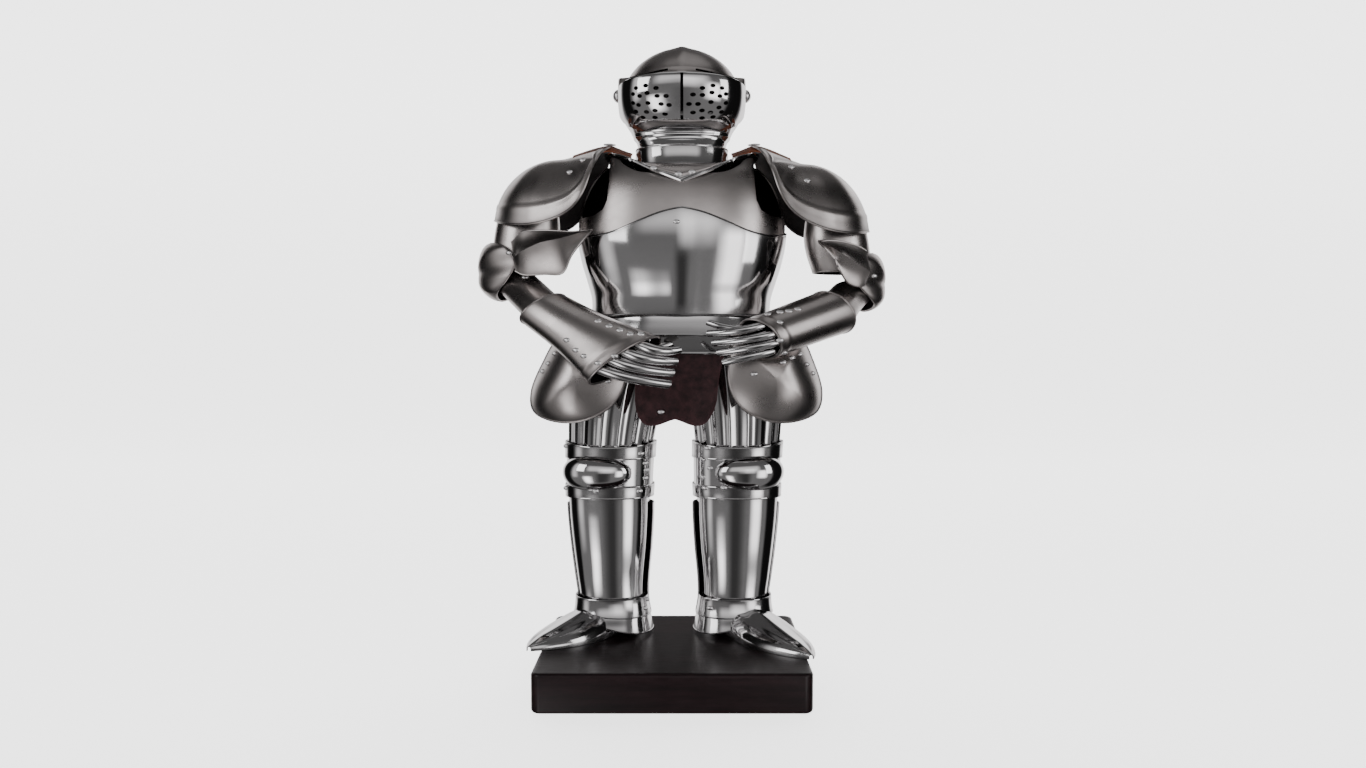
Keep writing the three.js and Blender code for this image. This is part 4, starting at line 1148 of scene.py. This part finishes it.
class ArmourSettings(bpy.types.PropertyGroup):
    """The sizes and colours that a user would change."""
    rivet: FloatProperty(name="Rivet", description="Height of a rivet's head", default=0.0044, min=0.001,
                         unit="LENGTH")
    breath: FloatProperty(name="Breath hole", description="Width of a breath hole in the visor",
                          default=0.0034, min=0.001, unit="LENGTH")
    bead: FloatProperty(name="Rolled edge", description="Radius of the rolled edges of the plates",
                        default=0.0012, min=0.0004, unit="LENGTH")
    finger_lames: IntProperty(name="Finger lames", description="Overlapping lames on each finger", default=5,
                              min=1, max=12)
    mirror_colour: FloatVectorProperty(name="Mirror steel", description="Colour of the mirror-polished plates",
                                       subtype="COLOR", default=(0.70, 0.69, 0.695), min=0, max=1)
    mirror_roughness: FloatProperty(name="Mirror roughness", description="Roughness of the mirror plates",
                                    default=0.06, min=0, max=1)
    satin_colour: FloatVectorProperty(name="Satin steel", description="Colour of the satin-polished plates",
                                      subtype="COLOR", default=(0.50, 0.465, 0.455), min=0, max=1)
    satin_roughness: FloatProperty(name="Satin roughness", description="Roughness of the satin plates",
                                   default=0.24, min=0, max=1)
    leather_colour: FloatVectorProperty(name="Straps", description="Colour of the leather shoulder straps",
                                        subtype="COLOR", default=(0.12, 0.032, 0.012), min=0, max=1)
    flap_colour: FloatVectorProperty(name="Flap", description="Colour of the leather flap", subtype="COLOR",
                                     default=(0.016, 0.005, 0.006), min=0, max=1)
    wood_colour: FloatVectorProperty(name="Wood", description="Colour of the base",
                                     subtype="COLOR", default=(0.0075, 0.0022, 0.003), min=0, max=1)
    light: FloatProperty(name="Light", description="Strength of the studio lights", default=1.0, min=0)


class ArmourOperator:
    """What the operators share."""
    bl_options = {"REGISTER", "UNDO"}

    def execute(self, context):
        self.build(context.scene.plate_armour)
        return {"FINISHED"}


class ARMOUR_OT_base(ArmourOperator, bpy.types.Operator):
    """Build the wooden base, a block with rounded corners and softened edges"""
    bl_idname = "armour.base"
    bl_label = "Wooden Base"

    def build(self, suit):
        made = piece("base", block(BASE), "suit", "dark_wood", ["wood"], ["base"], leans=False)
        made.data.set_sharp_from_angle(angle=np.radians(50))


def block(size):
    """A rounded block: a rectangle with round corners, inset along a quarter circle at both edges, with a
    flat fan over a last ring at each end."""
    quarter = np.radians(np.linspace(0, 90, 7))
    edge, corner = size["edge"], size["corner"]
    rounding = edge * (1 - np.sin(quarter))
    inset = np.concatenate([[edge + 3], rounding, rounding[::-1], [edge + 3]])
    fall = edge * (1 - np.cos(quarter))
    height = np.concatenate([[0], fall, size["height"] - fall[::-1], [size["height"]]])
    turn = np.radians(np.linspace(0, 360, 37)[:-1] + 5)
    across, deep = np.cos(turn), np.sin(turn)
    middle = np.stack([np.sign(across) * (size["width"] / 2 - corner),
                       np.sign(deep) * (size["depth"] / 2 - corner)])
    reach = (corner - inset)[:, None]
    points = stacked(middle[0] + reach * across, middle[1] + reach * deep, height[:, None] + 0 * across)
    index = np.arange(points[..., 0].size).reshape(points.shape[:2])
    ends = [[0, 0, 0], [0, 0, size["height"]]]
    return Form(np.vstack([points.reshape(-1, 3), ends]), grid_faces(index, True),
                fans(index.size, index[0], index[-1]))


class ARMOUR_OT_helmet(ArmourOperator, bpy.types.Operator):
    """Build the helmet's bowl, its two pivots and its visor"""
    bl_idname = "armour.helmet"
    bl_label = "Helmet"

    def build(self, suit):
        helmet_skull()
        helmet_visor(suit)
        for name, side in (("right", -1), ("left", 1)):
            piece(f"visor_pivot_{name}", turned_pin(side), "suit", "mirror_steel", ["rivet"],
                  [f"visor_pivot_{name}"])


class ARMOUR_OT_neck(ArmourOperator, bpy.types.Operator):
    """Build the bevor, the nape plate and the gorget"""
    bl_idname = "armour.neck"
    bl_label = "Neck"

    def build(self, suit):
        bead = suit.bead * 1000

        def folds(azimuth, z):
            return 0.7 * bump(z, 523, 1.2) - 0.4 * bump(z, 519, 2)
        for name, arc, top in (("bevor", (-99, 99), 541), ("nape_plate", (101, 259), 537)):
            steel(name, hoop(NECK, arc, 507, top, square=2.5, swell=folds, wall=1, across=100, along=40,
                             beads=("low",), bead=0.8 * bead))
        steel("gorget_collar", hoop(COLLAR, (0, 360), lambda a: 494.5 - 3 * np.cos(np.radians(a)), 511,
                                    across=144, along=12, beads=("high",), bead=bead))
        piece("gorget_plate", plate(yoke_surface, 180, 30, closed=True, outward=(0, 0, 1),
                                    relief=lambda u, v: -0.7 * bump(v, 0.86, 0.03), beads=("high", "low"),
                                    bead=1.4 * bead, finish=lambda u, v: 2 * (v < 0.84)), "suit",
              "mirror_steel", ["mirror", "inside", "satin"], ["gorget_plate"])


class ARMOUR_OT_body(ArmourOperator, bpy.types.Operator):
    """Build the breastplate, the belly plate, the backplate and the two hip hoops"""
    bl_idname = "armour.body"
    bl_label = "Body"

    def build(self, suit):
        bead = suit.bead * 1000
        breast = steel("breastplate", hoop(TORSO, (-97, 97), 374, mirrored(BREAST_TOP), swell=breast_ridge,
                                           across=130, along=54), "satin_steel")
        holes = [prism([(side * x, z) for x, z in ARMHOLE],
                       lambda p, y: stacked(p[:, 0], y, p[:, 1]), -40, 70) for side in (-1, 1)]
        cut(breast, holes[0] + holes[1])
        steel("plackart", hoop(TORSO, (-97, 97), 349, mirrored(PLACKART_TOP), grow=1.65, swell=breast_ridge,
                               across=130, along=44, beads=("low", "high"), bead=0.9 * bead))
        steel("backplate", hoop(TORSO, (84, 276), 350, mirrored(BACK_TOP), grow=-2.1, across=110, along=54,
                                relief=lambda u, v: 1.4 * bump(u, 0.5, 0.03), beads=("high",), bead=bead),
              "satin_steel")
        for name, rows, low, high in (("fauld_upper", FAULD_UPPER, 330, 354),
                                      ("fauld_lower", FAULD_LOWER, 313, 336)):
            steel(name, hoop(rows, (0, 360), low, high, across=160, along=12, beads=("low",), bead=bead))


class ARMOUR_OT_leather(ArmourOperator, bpy.types.Operator):
    """Build the leather flap, and the shoulder straps with their buckles"""
    bl_idname = "armour.leather"
    bl_label = "Leather"

    def build(self, suit):
        def wavy(azimuth, z):
            return 1.2 * np.sin(np.radians(azimuth * 14)) * smooth(300 - z, 0, 55)
        flap = hoop(FLAP, (-24, 24), mirrored(FLAP_BOTTOM), 322, swell=wavy, wall=2, across=70, along=60,
                    inside=0, relief=lambda u, v: -0.5 * bump(v, 0.06, 0.012))
        piece("brayette", flap, "suit", "brown_leather", ["flap"], ["brayette"])
        for arm in SIDES:
            piece(f"shoulder_strap_{arm['name']}", strap_form(arm), "suit", "brown_leather",
                  ["strap", "rivet"], [f"shoulder_strap_{arm['name']}"])


def strap_line(arm):
    """The strap's side line: a smooth curve through its points."""
    x, z = np.array(STRAP, float).T
    z = z - arm["droop"] * np.maximum(x - 80, 0)
    return table("t x z", *zip(np.linspace(0, 1, len(STRAP)), arm["side"] * x, z))


def strap_form(arm):
    """A leather strap over the shoulder with a buckle: the side line, pushed along Y."""
    line = strap_line(arm)

    def surface(u, v):
        point = at(line, v)
        ahead = 1 - u
        return stacked(point["x"], 54 - 24 * ahead, point["z"] - 9 * ahead ** 2)
    form = plate(surface, 22, 60, wall=1.6, outward=(0, 0, 1), inside=0,
                 relief=lambda u, v: -0.35 * (bump(u, 0.13, 0.035) + bump(u, 0.87, 0.035)))
    middle = at(line, 0.45)
    before, after = at(line, 0.40), at(line, 0.50)
    along = unit(np.array([after["x"] - before["x"], 0, after["z"] - before["z"]]))
    up = np.array([-along[2], 0, along[0]])
    up = up if up[2] > 0 else -up
    centre = np.array([middle["x"], 44, middle["z"]]) - 0.6 * up
    turn = 2 * np.pi * np.arange(48) / 48
    loop = (centre + 5 * power(np.cos(turn), 0.35)[:, None] * along
            + 8 * power(np.sin(turn), 0.35)[:, None] * np.array([0, 1, 0.2]))
    frame_bar = round_bar(loop, np.tile(up, (48, 1)), 0.9, True).finished(1)
    reach = np.linspace(-1, 1, 12)[:, None]
    tongue = round_bar(centre + 4.8 * reach * along + (0.6 - 0.5 * reach ** 2) * up, np.tile(up, (12, 1)), 0.8,
                       False).finished(1)
    return form + frame_bar + tongue


class ARMOUR_OT_arms(ArmourOperator, bpy.types.Operator):
    """Build the shoulder plates, upper arms, elbows and forearms"""
    bl_idname = "armour.arms"
    bl_label = "Arms"

    def build(self, suit):
        bead = suit.bead * 1000
        for arm in SIDES:
            side, name = arm["side"], arm["name"]

            def shoulder(point):
                return side * point[0], point[1], point[2] - arm["droop"] * (point[0] - 80)
            steel(f"pauldron_{name}", dish([shoulder(p) for p in PAULDRON], shoulder(PAULDRON_CROWN),
                                           (0, 0, 1), 84, across=140, along=40, beads=("high",), bead=bead,
                                           relief=lambda u, v: 0.9 * bump(v, 0.86, 0.02)),
                  "satin_steel")
            rows = sideways(REREBRACE, side, arm["out"], -arm["drop"])
            steel(f"rerebrace_{name}", hoop(rows, (0, 360), rows["z"][0], rows["z"][-1], square=2, across=120,
                                            along=24, beads=("low",), bead=0.7 * bead), "satin_steel")
            cup = dish([set_elbow(arm, p) for p in COUTER], set_elbow(arm, COUTER_CROWN),
                       (side * 0.9, 0.3, -0.1), 88, across=100, along=28, beads=("high",), bead=0.7 * bead)
            steel(f"couter_{name}", cup, "satin_steel")
            fan = ridged([[(side * x, y, z) for x, y, z in row] for row in WINGS[name]], across=60, along=28,
                         beads=("low", "high"), bead=0.7 * bead)
            steel(f"couter_wing_{name}", fan, "satin_steel", sharp=24)
            sleeve = table("t wide flat", [0.12, 13.6, 13.6], [0.6, 13.8, 13.8],
                           [1.1, arm["sleeve"], arm["sleeve"]])
            forearm = limb_frame(arm["elbow"], arm["mouth"], arm["wide_side"])
            steel(f"vambrace_{name}", tube(forearm, sleeve, across=100, along=30), "satin_steel")


class ARMOUR_OT_gauntlets(ArmourOperator, bpy.types.Operator):
    """Build the gauntlet cuffs, the fingers and the thumbs"""
    bl_idname = "armour.gauntlets"
    bl_label = "Gauntlets"

    def build(self, suit):
        bead = suit.bead * 1000
        lames = suit.finger_lames
        for arm in SIDES:
            name = arm["name"]
            limb = limb_frame(arm["mouth"], arm["wrist"], arm["wide_side"])
            steel(f"cuff_{name}", tube(limb, arm["cuff"], across=100, along=44, beads=("low", "high"),
                                       bead=bead, relief=lambda u, v: 0.6 * bump(v, 0.9, 0.02)), "satin_steel")
            finger = arm["finger"]
            for number in range(4):
                offset = finger["start"] - finger["pitch"] * number
                under = depth_under_cuff(arm, offset)
                tip = np.array(finger["tip"]) + np.array(finger["step"]) * number
                surface = half_pipe(limb_point(limb, 0.93, offset, under),
                                    limb_point(limb, 1.16, offset * 0.9, under), tip, limb[2],
                                    1.06 * finger["radius"], lames, 0.12)
                steel(f"finger_{number + 1}_{name}", lamed(surface, lames))
            thumb = arm["thumb"]
            surface = half_pipe(limb_point(limb, 0.9, thumb["offset"], thumb["under"]),
                                limb_point(limb, 1.12, thumb["offset"], thumb["under"]), thumb["tip"],
                                limb[2], finger["radius"], lames, 0.12)
            steel(f"thumb_{name}", lamed(surface, lames))


class ARMOUR_OT_legs(ArmourOperator, bpy.types.Operator):
    """Build the tassets, thighs, knees and greaves"""
    bl_idname = "armour.legs"
    bl_label = "Legs"

    def build(self, suit):
        bead = suit.bead * 1000
        for name, side in (("right", -1), ("left", 1)):
            border = [(side * x, y, z) for x, y, z in TASSET]
            crown = (side * TASSET_CROWN[0], *TASSET_CROWN[1:])
            steel(f"tasset_{name}", dish(border, crown, (0, -1, 0), 64, across=130, along=34,
                                         beads=("high",), bead=1.2 * bead), "satin_steel")
            steel(f"cuisse_{name}", hoop(sideways(CUISSE, side), (0, 360), 210, 324,
                                         swell=lambda a, z: flutes(a), across=216, along=26))
            rows = sideways(POLEYN, side)
            arc = (-118, 118)
            steel(f"poleyn_upper_{name}", hoop(rows, arc, 210, lambda a: 223 - 2 * np.cos(np.radians(2 * a)),
                                               grow=1.65, across=120, along=10, beads=("high", "low"),
                                               bead=0.7 * bead))
            steel(f"poleyn_{name}", hoop(rows, arc, 175, 213, swell=lambda a, z: kneecap(side * a, z),
                                         across=160, along=50))
            steel(f"poleyn_lower_{name}", hoop(rows, arc, 171.5, 182.5, grow=1.65, across=120, along=8,
                                               beads=("high", "low"), bead=0.7 * bead))
            shin = sideways(GREAVE, side)
            steel(f"greave_front_{name}", hoop(shin, (-94, 94), lambda a: 58 + 8 * np.cos(np.radians(a)) ** 2,
                                               173, across=100, along=36, beads=("first", "last", "low"),
                                               bead=0.8 * bead))
            calf = {**sideways(GREAVE, side, x=-1.5), "half": GREAVE["half"] + 1.8}
            steel(f"greave_back_{name}", hoop(calf, (87, 273), 56, 163.8, grow=1.65, across=100, along=36,
                                              beads=("first", "last"), bead=0.8 * bead))


class ARMOUR_OT_sabatons(ArmourOperator, bpy.types.Operator):
    """Build the feet, each with a keel and two side ridges, and the lames round the ankle"""
    bl_idname = "armour.sabatons"
    bl_label = "Sabatons"

    def build(self, suit):
        for name, side in (("right", -1), ("left", 1)):
            heel, toe = FEET[name]
            start = np.array([heel[0] / WIDEN, heel[1]])
            run = np.array([toe[0] / WIDEN, toe[1]]) - start
            aside = unit(np.array([run[1], -run[0]]))

            def surface(u, v):
                t = v ** 1.15
                section = at(FOOT, t)
                angle = np.pi * u
                over = section["half"] * power(np.cos(angle), 0.85)
                return stacked((start[0] + run[0] * t + aside[0] * over) * WIDEN,
                               start[1] + run[1] * t + aside[1] * over,
                               SOLE + section["rise"] * np.sin(angle) ** 0.8)

            def keel(u, v):
                """A sharp keel and two lower ridges from the ankle to the toe, with hollows between."""
                t = v ** 1.15
                ridges = 1.8 * np.exp(-np.abs(u - 0.5) / 0.08) + sum(
                    0.8 * np.exp(-np.abs(u - place) / 0.05) for place in (0.3, 0.7))
                hollows = bump(u, 0.4, 0.05) + bump(u, 0.6, 0.05)
                return (ridges - 0.6 * hollows) * smooth(t, 0.3, 0.48) * (1 - smooth(t, 0.86, 1))
            form = plate(surface, 80, 110, outward=(0, 0, 1), relief=keel)
            made = steel(f"sabaton_{name}", form)
            rim = arc_points((0, 0), 1, 0, 360, 49)[:-1] * (24, 15.5) + (side * 61.5, LEG_Y + 1)
            cut(made, prism(rim, lambda p, z: stacked(p[:, 0], p[:, 1], z), SOLE + 12, SOLE + 60))
            toe_azimuth = side * 44
            ankle = sideways(ANKLE, side)
            low = hoop(ankle, (-104, 104), lambda a: 39 + 14 * bump(a, toe_azimuth, 48), 60, grow=0.9, across=90,
                       along=16, beads=("low",), bead=0.8)
            high = hoop(ankle, (-104, 104), lambda a: 54 + 2 * bump(a, toe_azimuth, 48), 71, grow=2.2,
                        across=90, along=12, beads=("low", "high"), bead=0.8)
            piece(f"ankle_lames_{name}", low + high, "suit", "mirror_steel", ["mirror", "inside"])


RIVETS = {
    "gorget_plate": [(653.5, 168), (678.4, 174), (692, 172)],
    "plackart": [(676.5, 221.6)],
    "pauldron_right": [(582.7, 160), (569.6, 172)],
    "pauldron_left": [(791, 167), (807, 180.5)],
    "couter_right": [(509, 253)],
    "vambrace_right": [(525, 277)],
    "cuff_right": [(567, 340), (576, 350), (584, 356), (598, 363), (614.5, 356), (632, 348), (648, 340),
                   (641, 334), (630, 334), (620, 330), (609, 326), (598, 321)],
    "cuff_left": [(768, 314), (789, 311), (798, 309), (780, 312), (780, 322), (780, 340.5), (784, 353)],
    "couter_left": [(874, 276)],
    "tasset_right": [(559, 344), (554.6, 353), (548, 363), (542.5, 371), (608, 381)],
    "tasset_left": [(792, 357.5), (783, 362), (800, 354), (807, 364), (813, 373), (754, 374)],
    "brayette": [(661, 412)],
    "poleyn_upper_right": [(566, 446), (641, 453.5)],
    "poleyn_right": [(645, 463), (646, 470), (645, 478)],
    "poleyn_lower_right": [(639.5, 491), (595.5, 491), (566, 488)],
    "poleyn_upper_left": [(707.5, 448)],
    "poleyn_left": [(704, 459), (710, 468), (703, 477)],
    "poleyn_lower_left": [(705, 488), (724, 488), (746, 488)],
    "ankle_lames_right": [(647, 599), (645, 608)],
    "ankle_lames_left": [(708, 599), (710, 608)],
}


class ARMOUR_OT_rivets(ArmourOperator, bpy.types.Operator):
    """Set domed rivets where they show, each seated on its plate"""
    bl_idname = "armour.rivets"
    bl_label = "Rivets"

    def build(self, suit):
        profile = dome(suit.rivet * 500, suit.rivet * 360)
        for name, pixels in RIVETS.items():
            tree = tree_of(MADE[name])
            found = [landing(tree, *ray_to(pixel)) for pixel in pixels]
            found = [place for place in found if place]
            piece(f"rivets_{name}", studs(found, profile, 16, 1.6), "suit", "mirror_steel", ["rivet"],
                  leans=False)


# Soft lights: name, place and size in metres, and watts
LAMPS = [("light_left", (-1.3, -1.2, 0.9), (0.7, 1.0), 7), ("light_right", (1.4, -1.0, 0.6), (0.5, 1.1), 5),
         ("light_above", (0.2, -0.2, 2.0), (1.4, 1.0), 1.6)]


class ARMOUR_OT_studio(ArmourOperator, bpy.types.Operator):
    """Set up the pale floor, the soft lights and the camera"""
    bl_idname = "armour.studio"
    bl_label = "Studio"

    def build(self, suit):
        pale_floor()
        for name, place, size, watts in LAMPS:
            soft_box(name, place, size, watts * suit.light)
        surroundings(suit.light)
        camera = bpy.data.objects.new("camera", bpy.data.cameras.new("camera"))
        camera.data.sensor_width = 36
        camera.data.lens = 36 * PICTURE["ahead"] / PICTURE["width"]
        camera.location = [k * MM for k in EYE]
        camera.rotation_euler = (np.radians(90 - PITCH), 0, 0)
        camera.data.clip_start, camera.data.clip_end = 0.01, 50
        bpy.context.scene.collection.objects.link(camera)
        bpy.context.scene.camera = camera


def pale_floor():
    """A floor that curves up into a wall behind: a flat run, a quarter circle and an upright run."""
    def surface(u, v):
        front, back, bow, wall = 6000, 1600, 1200, 4000
        bend = np.radians(90 * np.clip((v - 0.4) / 0.3, 0, 1))
        y = np.where(v < 0.4, -front + (back + front) * v / 0.4, back + bow * np.sin(bend))
        z = np.where(v < 0.4, 0.0, bow * (1 - np.cos(bend)))
        z = z + np.where(v > 0.7, (v - 0.7) / 0.3 * wall, 0.0)
        return stacked((2 * u - 1) * 7000, y, z)
    u, v = np.meshgrid(np.linspace(0, 1, 3), np.linspace(0, 1, 41))
    points = surface(u, v)
    form = Form(points, grid_faces(np.arange(u.size).reshape(u.shape), False))
    floor = bpy.data.objects.new("floor", mesh_of("floor", form))
    floor.data.materials.append(FINISHES["floor"]())
    floor.visible_glossy = False
    bpy.context.scene.collection.objects.link(floor)


def soft_box(name, place, size, power_watts):
    """A large soft light that looks at the suit's middle."""
    lamp = bpy.data.lights.new(name, "AREA")
    lamp.shape, lamp.size, lamp.size_y, lamp.energy = "RECTANGLE", size[0], size[1], power_watts
    made = bpy.data.objects.new(name, lamp)
    made.location = place
    made.rotation_euler = (Vector((0, 0, 0.35)) - Vector(place)).to_track_quat("-Z", "Y").to_euler()
    bpy.context.scene.collection.objects.link(made)


# What the steel mirrors: lit and dark panels as (from, to bearing, from, to height, light), the bearing in
# degrees from the front towards the suit's left, and the height from -1 straight down to 1 straight up
PANELS = [(-36, -20, -0.75, -0.3, 3.2), (24, 44, -0.38, 0.14, 2.8), (-70, -54, -0.3, 0.6, 0.7),
          (-8, 8, -0.8, -0.05, -0.15), (66, 116, -0.9, 0.8, -0.22), (-118, -80, -0.9, 0.8, -0.22),
          (126, 170, -0.5, 0.6, 1.6), (-170, -130, -0.5, 0.6, 1.4), (-26, 26, 0.16, 0.5, 0.75), (-2, 18, 0, 0.3, 0.9)]


def surroundings(strength):
    """A plain pale room to look at, and in the steel a dim room with lit and dark panels round the suit."""
    world = bpy.context.scene.world or bpy.data.worlds.new("world")
    bpy.context.scene.world = world
    world.use_nodes = True
    tree = world.node_tree
    split = tree.nodes.new("ShaderNodeSeparateXYZ")
    tree.links.new(tree.nodes.new("ShaderNodeTexCoord").outputs["Generated"], split.inputs["Vector"])
    height = split.outputs["Z"]
    bearing = calculate(tree, "MULTIPLY", 180 / np.pi, calculate(
        tree, "ARCTAN2", split.outputs["X"], calculate(tree, "MULTIPLY", split.outputs["Y"], -1.0)))
    total = ranged(tree, height, -0.2, 0.7, 0.2, 0.11)
    for left, right, low, high, light in PANELS:
        panel = calculate(tree, "MULTIPLY", window(tree, bearing, left, right, 5),
                          window(tree, height, low, high, 0.08))
        total = calculate(tree, "ADD", total, calculate(tree, "MULTIPLY", panel, light))
    total = calculate(tree, "MAXIMUM", total, 0.008)
    seen = tree.nodes.new("ShaderNodeLightPath").outputs["Is Camera Ray"]
    tint = tree.nodes.new("ShaderNodeCombineColor")
    for channel, share in (("Red", 1.0), ("Green", 0.985), ("Blue", 0.985)):
        tree.links.new(calculate(tree, "MULTIPLY", total, share), tint.inputs[channel])
    colour = mixed(tree, seen, tint.outputs["Color"], (3.2, 3.2, 3.2, 1))
    tree.links.new(colour, tree.nodes["Background"].inputs["Color"])
    tree.nodes["Background"].inputs["Strength"].default_value = strength


def window(tree, value, low, high, soft):
    """1 where a value lies between two limits and 0 outside, with soft edges."""
    return calculate(tree, "MULTIPLY", ranged(tree, value, low - soft, low + soft, 0.0, 1.0),
                     ranged(tree, value, high - soft, high + soft, 1.0, 0.0))


class ARMOUR_PT_suit(bpy.types.Panel):
    """The steps of the suit, in the sidebar"""
    bl_idname = "ARMOUR_PT_suit"
    bl_label = "Plate Armour"
    bl_space_type = "VIEW_3D"
    bl_region_type = "UI"
    bl_category = "Armour"

    def draw(self, context):
        suit = context.scene.plate_armour
        for name in ("rivet", "breath", "bead", "finger_lames", "mirror_colour", "mirror_roughness",
                     "satin_colour", "satin_roughness", "leather_colour", "flap_colour",
                     "wood_colour", "light"):
            self.layout.prop(suit, name)
        for step in STEPS:
            self.layout.operator(step.bl_idname)


STEPS = (ARMOUR_OT_base, ARMOUR_OT_helmet, ARMOUR_OT_neck, ARMOUR_OT_body, ARMOUR_OT_leather, ARMOUR_OT_arms,
         ARMOUR_OT_gauntlets, ARMOUR_OT_legs, ARMOUR_OT_sabatons, ARMOUR_OT_rivets, ARMOUR_OT_studio)
CLASSES = (ArmourSettings, *STEPS, ARMOUR_PT_suit)


def register():
    for each in CLASSES:
        bpy.utils.register_class(each)
    bpy.types.Scene.plate_armour = PointerProperty(type=ArmourSettings)


def unregister():
    del bpy.types.Scene.plate_armour
    for each in reversed(CLASSES):
        bpy.utils.unregister_class(each)


def main():
    """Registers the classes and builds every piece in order."""
    register()
    for step in STEPS:
        group, name = step.bl_idname.split(".")
        getattr(getattr(bpy.ops, group), name)()


if __name__ == "__main__":
    main()
